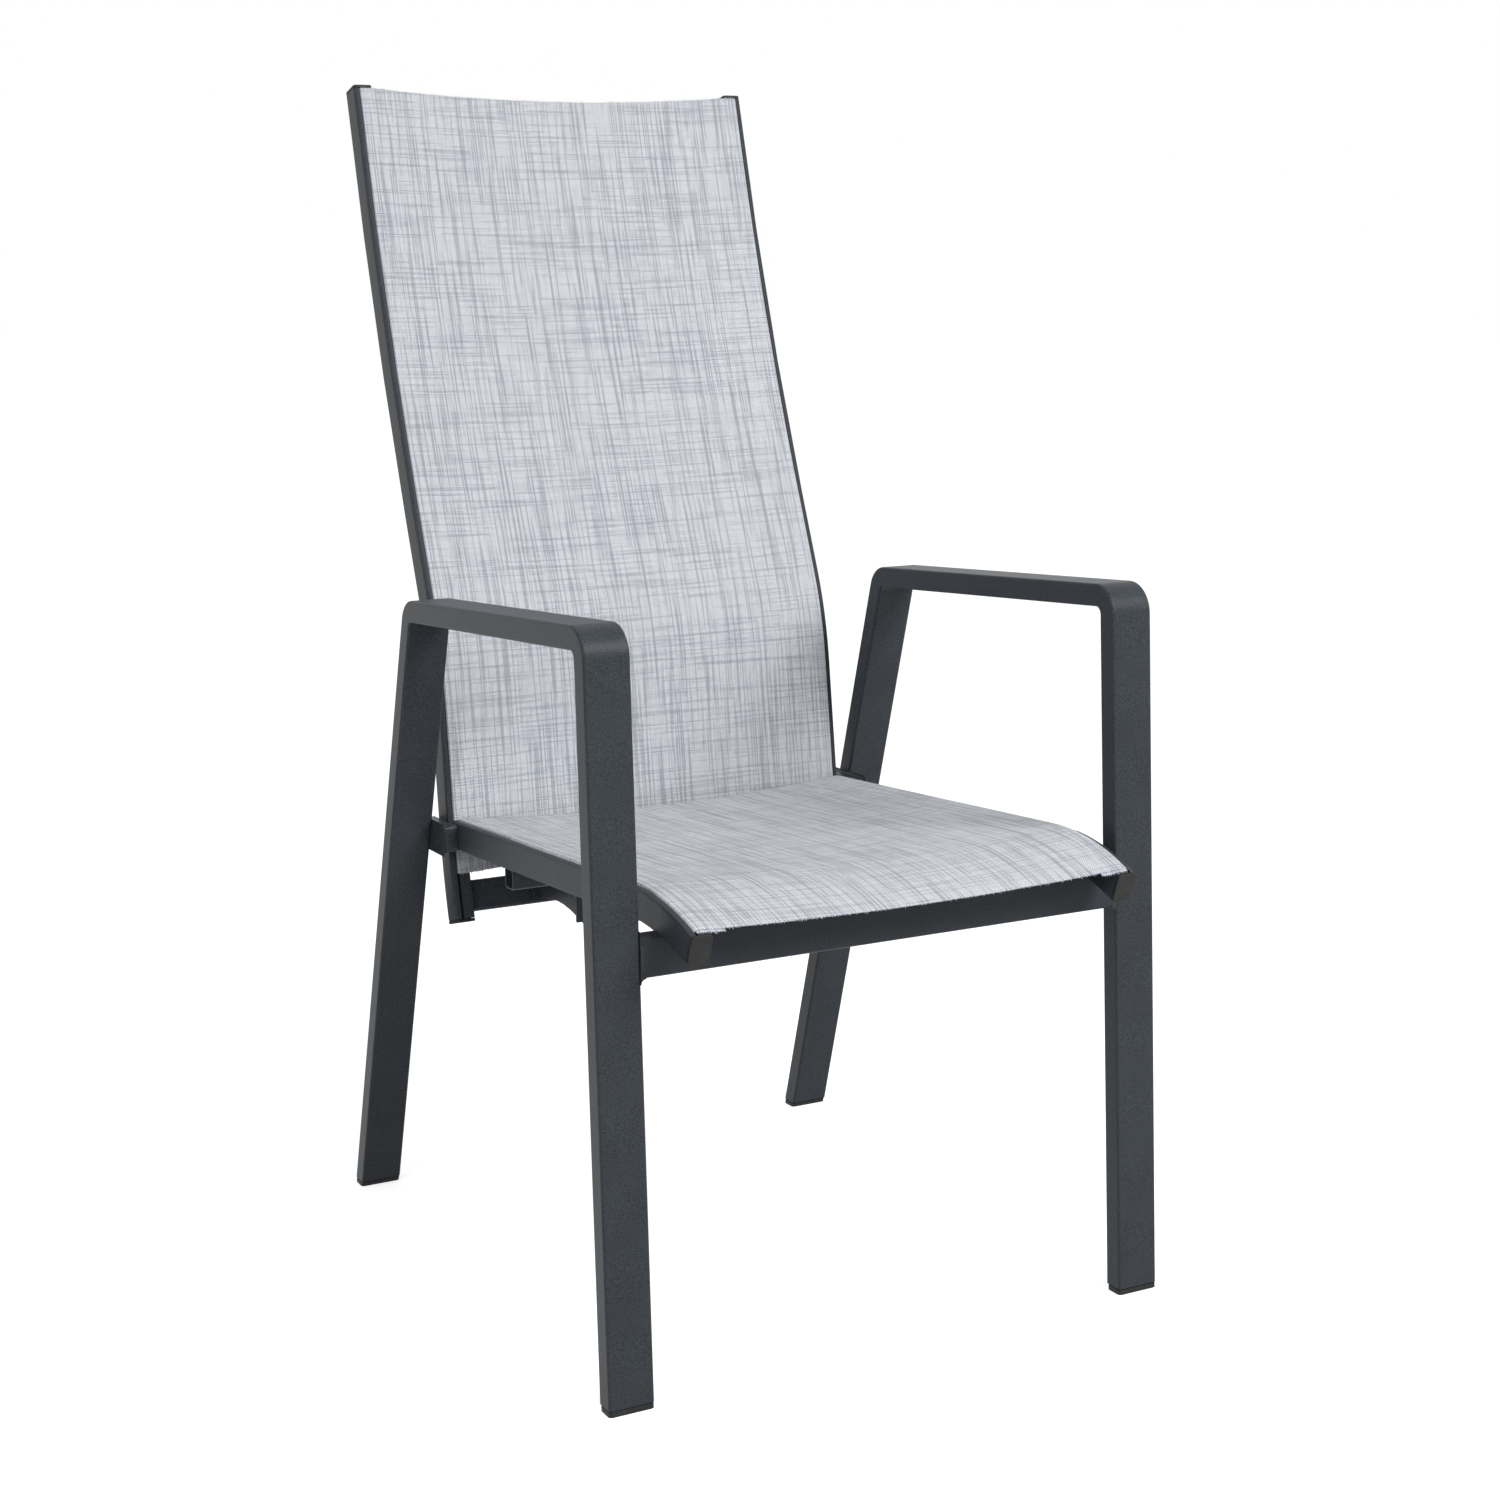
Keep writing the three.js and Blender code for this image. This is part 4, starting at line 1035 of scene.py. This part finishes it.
class SLINGCHAIR_OT_side_frames(SlingChairOperator, bpy.types.Operator):
    """Bend the two side frames: front leg, armrest and raked rear leg from one tube"""

    bl_idname = "sling_chair.side_frames"
    bl_label = "Side Frames"

    def execute(self, context):
        front = Vector((0, TUBE_DEPTH / 2 / math.cos(FRONT_LEAN), 0))
        rear = Vector((0, REAR_FOOT, 0))
        arm = Vector((0, 0, ARM_HEIGHT - TUBE_DEPTH / 2 / math.cos(ARM_SLOPE)))
        arm_heading = math.pi / 2 + ARM_SLOPE
        rear_heading = math.pi - REAR_RAKE
        front_corner = self.crossing(front, FRONT_LEAN, arm, arm_heading)
        rear_corner = self.crossing(arm, arm_heading, rear, rear_heading)
        front_turn = arm_heading - FRONT_LEAN
        rear_turn = rear_heading - arm_heading
        front_trim = TUBE_BEND * math.tan(front_turn / 2)
        rear_trim = TUBE_BEND * math.tan(rear_turn / 2)
        below = 0.04
        start = front - heading_of(FRONT_LEAN) * below
        runs = (
            ((front_corner - front).length + below - front_trim, 0),
            (TUBE_BEND * front_turn, front_turn),
            ((rear_corner - front_corner).length - front_trim - rear_trim, 0),
            (TUBE_BEND * rear_turn, rear_turn),
            ((rear_corner - rear).length + below - rear_trim, 0),
        )
        for hand, side in HANDS:
            tube = bent_tube(f"side_tube_{hand}", side * TUBE_ACROSS, start, FRONT_LEAN, runs)
            edit()
            bpy.ops.mesh.bisect(
                plane_co=(0, 0, TUBE_FOOT), plane_no=(0, 0, 1), use_fill=True, clear_inner=True
            )
            leave()
            closed(tube)
            smooth(tube, 40)
            apply_modifier(tube, "WEIGHTED_NORMAL", keep_sharp=True)
            fitted(tube, "frame_coat", "base", finish_named("powder_coat"), f"side_frame_{hand}")
        return {"FINISHED"}

    @staticmethod
    def crossing(first, first_heading, second, second_heading):
        a = heading_of(first_heading)
        b = heading_of(second_heading)
        gap = second - first
        along = (gap.y * b.z - gap.z * b.y) / (a.y * b.z - a.z * b.y)
        return first + a * along


class SLINGCHAIR_OT_sling_rails(SlingChairOperator, bpy.types.Operator):
    """Dress the seat's and the back's extruded sling rails and their keder rods"""

    bl_idname = "sling_chair.sling_rails"
    bl_label = "Sling Rails"

    def execute(self, context):
        for hand, _ in HANDS:
            rail = dressed(f"seat_rail_{hand}", "powder_coat", flat=0.3, angle=25)
            laid_along(rail, PACKED_SEAT_LINE, SEAT_LINE)
            dressed(f"back_rail_{hand}", "powder_coat", flat=0.3, angle=25)
            laid_along(dressed(f"seat_keder_{hand}", "keder_rod", flat=0.1), PACKED_SEAT_LINE, SEAT_LINE)
            dressed(f"back_keder_{hand}", "keder_rod", flat=0.1)
        return {"FINISHED"}


class SLINGCHAIR_OT_slings(SlingChairOperator, bpy.types.Operator):
    """Stretch the two woven slings between their rails, with hems and cut edges"""

    bl_idname = "sling_chair.slings"
    bl_label = "Slings"

    def execute(self, context):
        sizes = context.scene.sling_chair_sizes
        thickness = sizes.cloth_thickness
        dip = sizes.edge_dip
        cloth = finish_named("sling_cloth")
        hem_reach = SLOT_ACROSS - sizes.hem_width
        outer = SLOT_ACROSS - 0.002
        rows = (
            ("seat", "base", SEAT_LINE, 1, SLING_SHORT, SEAT_FRONT_SHORT, sizes.seat_sag, dip * 0.5, 150),
            ("back", "back", BACK_LINE, -1, BACK_FOOT_SHORT, SLING_SHORT, sizes.back_sag, dip, 220),
        )
        for name, body, line, sign, start, end, sag, end_dip, count in rows:
            sheet = sling(
                f"{name}_cloth", line, sign, start, end, sag, START_DIP, end_dip, count, thickness
            )
            fitted(sheet, "sling", body, cloth, f"{name}_sling")
            hem_end = end - (HEM_SHOWS if name == "seat" else 0.0)
            for hand, side in HANDS:
                strip = hem(
                    f"{name}_hem_{hand}", line, sign, side, start, hem_end, hem_reach, thickness * 0.6
                )
                fitted(strip, "sling", body, cloth)

            def far_edge(inward):
                return line.length - end - end_dip * inward

            def hem_edge(inward):
                return line.length - end + HEM_SHOWS

            def near_edge(inward):
                return start + START_DIP * inward

            whole = ((-outer, outer),)
            hems = ((-outer, -hem_reach), (hem_reach, outer))
            spots = edge_spots(f"{name}_yarns", line, sign, far_edge, sag, EDGE_YARNS, whole)
            if name == "seat":
                spots += edge_spots(
                    "seat_hem_yarns", line, sign, hem_edge, 0.0, HEM_YARNS, hems, drop=0.0014
                )
            else:
                spots += edge_spots(
                    "back_foot_yarns", line, sign, near_edge, sag, EDGE_YARNS, whole, way=-1
                )
            yarn_ends = thread_ends(f"{name}_yarn_ends", spots, YARN_RADIUS)
            fitted(yarn_ends, "sling", body, cloth)
            length = line.length - start - end
        return {"FINISHED"}


class SLINGCHAIR_OT_crossbars(SlingChairOperator, bpy.types.Operator):
    """Make the front crossbar, the seat's spreader, and the back's crossbar and spreader"""

    bl_idname = "sling_chair.crossbars"
    bl_label = "Crossbars"

    def execute(self, context):
        bar = dressed("front_crossbar", "powder_coat", flat=0.3)
        for vertex in bar.data.vertices:
            if vertex.co.z > BAR_MIDDLE:
                vertex.co.z += BAR_TALLER
        dressed("seat_spreader", "powder_coat", flat=0.3)
        back_bar = dressed("back_crossbar", "powder_coat", flat=0.3)
        for vertex in back_bar.data.vertices:
            vertex.co.z -= BACK_BAR_LOWER
        dressed("upper_spreader", "powder_coat", flat=0.1)
        return {"FINISHED"}


class SLINGCHAIR_OT_pivots(SlingChairOperator, bpy.types.Operator):
    """Make the pivot blocks on the rear legs, with their bushes and bolts"""

    bl_idname = "sling_chair.pivots"
    bl_label = "Pivots"

    def execute(self, context):
        for hand, _ in HANDS:
            dressed(f"pivot_block_{hand}", "weld_coat", bevel=0.0012, segments=3)
            dressed(f"pivot_bush_{hand}", "moulded_plastic", bevel=0.0003)
            for node in ("pivot_bolt", "seat_rear_bolt", "seat_front_bolt"):
                dressed(f"{node}_{hand}", "zinc_plate", bevel=0.0004)
        return {"FINISHED"}


class SLINGCHAIR_OT_ratchet(SlingChairOperator, bpy.types.Operator):
    """Make the recline ratchet: sectors, brackets, latch bar, clips and springs"""

    bl_idname = "sling_chair.ratchet"
    bl_label = "Recline Ratchet"

    def execute(self, context):
        dressed("latch_bar", "powder_coat", bevel=0.0004)
        for hand, _ in HANDS:
            dressed(f"ratchet_sector_{hand}", "powder_coat", bevel=0.0005)
            dressed(f"recline_bracket_{hand}", "powder_coat", bevel=0.0006)
            dressed(f"latch_clip_{hand}", "zinc_plate", bevel=0.0003)
            dressed(f"latch_spring_{hand}", "zinc_plate", flat=0.1, angle=80)
        return {"FINISHED"}


class SLINGCHAIR_OT_caps_and_feet(SlingChairOperator, bpy.types.Operator):
    """Make the rails' end caps and the plugs in the feet"""

    bl_idname = "sling_chair.caps_and_feet"
    bl_label = "Caps and Feet"

    def execute(self, context):
        for hand, _ in HANDS:
            for node in ("back_cap_upper", "back_cap_lower"):
                dressed(f"{node}_{hand}", "moulded_plastic", bevel=0.0006, segments=3)
            for node in ("seat_cap_front", "seat_cap_rear"):
                cap = dressed(f"{node}_{hand}", "moulded_plastic", bevel=0.0004)
                laid_along(cap, PACKED_SEAT_LINE, SEAT_LINE)
            for node in ("foot_plug_front", "foot_plug_rear"):
                widened(dressed(f"{node}_{hand}", "moulded_plastic", bevel=0.0022, segments=4))
        return {"FINISHED"}


class SLINGCHAIR_OT_welds(SlingChairOperator, bpy.types.Operator):
    """Lay the fillet welds that join the crossbars and the pivot blocks to the tubes and the rails"""

    bl_idname = "sling_chair.welds"
    bl_label = "Welds"

    def execute(self, context):
        reach = context.scene.sling_chair_sizes.weld_radius
        in_tube = 0.0006
        in_rail = -0.0002
        bar_low = Vector(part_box("front_crossbar")[0])
        bar_size = (BAR_SECTION[0], BAR_SECTION[1] + BAR_TALLER)
        bar_centre = (bar_low.y + bar_size[0] / 2, bar_low.z + bar_size[1] / 2)
        back_bar, _ = middle_of("back_crossbar")
        for hand, side in HANDS:
            face = side * (LEG_INNER + in_tube)
            bar_end = (face, *bar_centre)
            fillet_weld(
                f"crossbar_weld_{hand}", bar_end, bar_size, -side, reach * 1.7, flare=(0.12, 1.0)
            )
            block, size = middle_of(f"pivot_block_{hand}")
            fillet_weld(f"pivot_weld_{hand}", (face, block.y, block.z), size.yz, -side, reach)
            bar_end = (side * (RAIL_INNER + in_rail), back_bar.y, back_bar.z - BACK_BAR_LOWER)
            fillet_weld(
                f"back_weld_{hand}", bar_end, BACK_BAR_SECTION, -side, reach, BACK_FOOT_HEADING, "back"
            )
        return {"FINISHED"}


class SLINGCHAIR_OT_stage(SlingChairOperator, bpy.types.Operator):
    """Set the plain floor, the soft lamps, the world and the camera"""

    bl_idname = "sling_chair.stage"
    bl_label = "Stage"

    def execute(self, context):
        self.floor(context)
        self.lamps()
        self.world(context)
        self.camera(context)
        context.scene.view_settings.view_transform = "Standard"
        return {"FINISHED"}

    @staticmethod
    def seen(nodes):
        """1 for rays that show the stage: the camera's, and those in metal and glass."""
        camera, glossy, transmission = (
            nodes.node("ShaderNodeLightPath", out=f"Is {ray} Ray")
            for ray in ("Camera", "Glossy", "Transmission")
        )
        return camera.larger(glossy.larger(transmission))

    def floor(self, context):
        deselect()
        bpy.ops.mesh.primitive_circle_add(vertices=96, radius=60, fill_type="NGON", location=(0, 0, 0))
        floor = named("studio_floor")
        finish = Finish("studio_floor")
        looks = context.scene.sling_chair_looks
        dust = finish.noise(finish.place(), 3.0, 3.0)
        colour = finish.blend(dust, four(looks.floor_colour, 0.98), four(looks.floor_colour))
        matt = finish.node("ShaderNodeBsdfDiffuse", {}, {"Color": colour})
        dull = finish.node("ShaderNodeBsdfDiffuse", {}, {"Color": four(looks.floor_colour, 0.4)})
        glow = finish.node("ShaderNodeEmission", {}, {"Color": (1, 1, 1, 1), "Strength": 0.72})
        lit = finish.node("ShaderNodeAddShader", {}, {0: matt, 1: glow})
        shown = finish.node("ShaderNodeMixShader", {}, {0: self.seen(finish), 1: dull, 2: lit})
        floor.data.materials.append(finish.show(shown))

    @staticmethod
    def lamp(name, place, size, power):
        deselect()
        bpy.ops.object.light_add(type="AREA", location=place)
        lamp = bpy.context.object
        lamp.name = name
        lamp.rotation_euler = (Vector(LAMP_AIM) - Vector(place)).to_track_quat("-Z", "Y").to_euler()
        lamp.data.shape = "RECTANGLE"
        lamp.data.size, lamp.data.size_y = size
        lamp.data.energy = power
        lamp.data.color = LAMP_TINT

    def lamps(self):
        self.lamp("key_lamp", (1.2, -2.6, 2.6), (1.8, 1.4), 95)
        self.lamp("fill_lamp", (-2.6, -1.6, 1.8), (1.4, 1.4), 22)

    def world(self, context):
        world = bpy.data.worlds.new("studio_world")
        context.scene.world = world
        world.use_nodes = True
        sky = Nodes(world.node_tree)
        seen = self.seen(sky)
        soft = sky.node("ShaderNodeBackground", {}, {"Color": (1, 1, 1, 1), "Strength": 0.42})
        white = sky.node("ShaderNodeBackground", {}, {"Color": (1, 1, 1, 1), "Strength": 1.0})
        both = sky.node("ShaderNodeMixShader", {}, {0: seen, 1: soft, 2: white})
        sky.node("ShaderNodeOutputWorld", {}, {"Surface": both})

    @staticmethod
    def camera(context):
        deselect()
        bpy.ops.object.camera_add(location=(0, 0, 0))
        camera = context.object
        camera.name = "studio_camera"
        camera.data.lens = 59.76
        camera.data.sensor_width = 36
        camera.data.shift_x = -0.0333
        camera.data.shift_y = -0.0667
        camera.data.clip_end = 200
        azimuth, down, roll = (math.radians(angle) for angle in (-28.09, 7.72, -0.93))
        back = Vector(
            (math.sin(azimuth) * math.cos(down), -math.cos(azimuth) * math.cos(down), math.sin(down))
        )
        right = (-back).cross(Vector((0, 0, 1))).normalized()
        up = right.cross(-back)
        turned_right = right * math.cos(roll) + up * math.sin(roll)
        turned_up = up * math.cos(roll) - right * math.sin(roll)
        turn = Matrix((turned_right, turned_up, back)).transposed().to_4x4()
        place = (-1.073, -2.1779, 0.924)
        camera.matrix_world = Matrix.Translation(place) @ turn
        context.scene.camera = camera


class SLINGCHAIR_PT_panel(bpy.types.Panel):
    """The chair's operators and what a user may change"""

    bl_idname = "SLINGCHAIR_PT_panel"
    bl_label = "Sling Chair"
    bl_space_type = "VIEW_3D"
    bl_region_type = "UI"
    bl_category = "Sling Chair"

    def draw(self, context):
        layout = self.layout
        for operator in OPERATORS:
            layout.operator(operator.bl_idname)
        for group in (context.scene.sling_chair_sizes, context.scene.sling_chair_looks):
            column = layout.column(align=True)
            for name in group.bl_rna.properties.keys():
                if name not in {"rna_type", "name"}:
                    column.prop(group, name)


OPERATORS = (
    SLINGCHAIR_OT_side_frames,
    SLINGCHAIR_OT_sling_rails,
    SLINGCHAIR_OT_slings,
    SLINGCHAIR_OT_crossbars,
    SLINGCHAIR_OT_pivots,
    SLINGCHAIR_OT_ratchet,
    SLINGCHAIR_OT_caps_and_feet,
    SLINGCHAIR_OT_welds,
    SLINGCHAIR_OT_stage,
)
CLASSES = (SlingChairSizes, SlingChairLooks, *OPERATORS, SLINGCHAIR_PT_panel)


def register():
    for one in CLASSES:
        bpy.utils.register_class(one)
    bpy.types.Scene.sling_chair_sizes = bpy.props.PointerProperty(type=SlingChairSizes)
    bpy.types.Scene.sling_chair_looks = bpy.props.PointerProperty(type=SlingChairLooks)


def unregister():
    del bpy.types.Scene.sling_chair_looks
    del bpy.types.Scene.sling_chair_sizes
    for one in reversed(CLASSES):
        bpy.utils.unregister_class(one)


def main():
    register()
    bpy.ops.sling_chair.side_frames()
    bpy.ops.sling_chair.sling_rails()
    bpy.ops.sling_chair.slings()
    bpy.ops.sling_chair.crossbars()
    bpy.ops.sling_chair.pivots()
    bpy.ops.sling_chair.ratchet()
    bpy.ops.sling_chair.caps_and_feet()
    bpy.ops.sling_chair.welds()
    bpy.ops.sling_chair.stage()


if __name__ == "__main__":
    main()
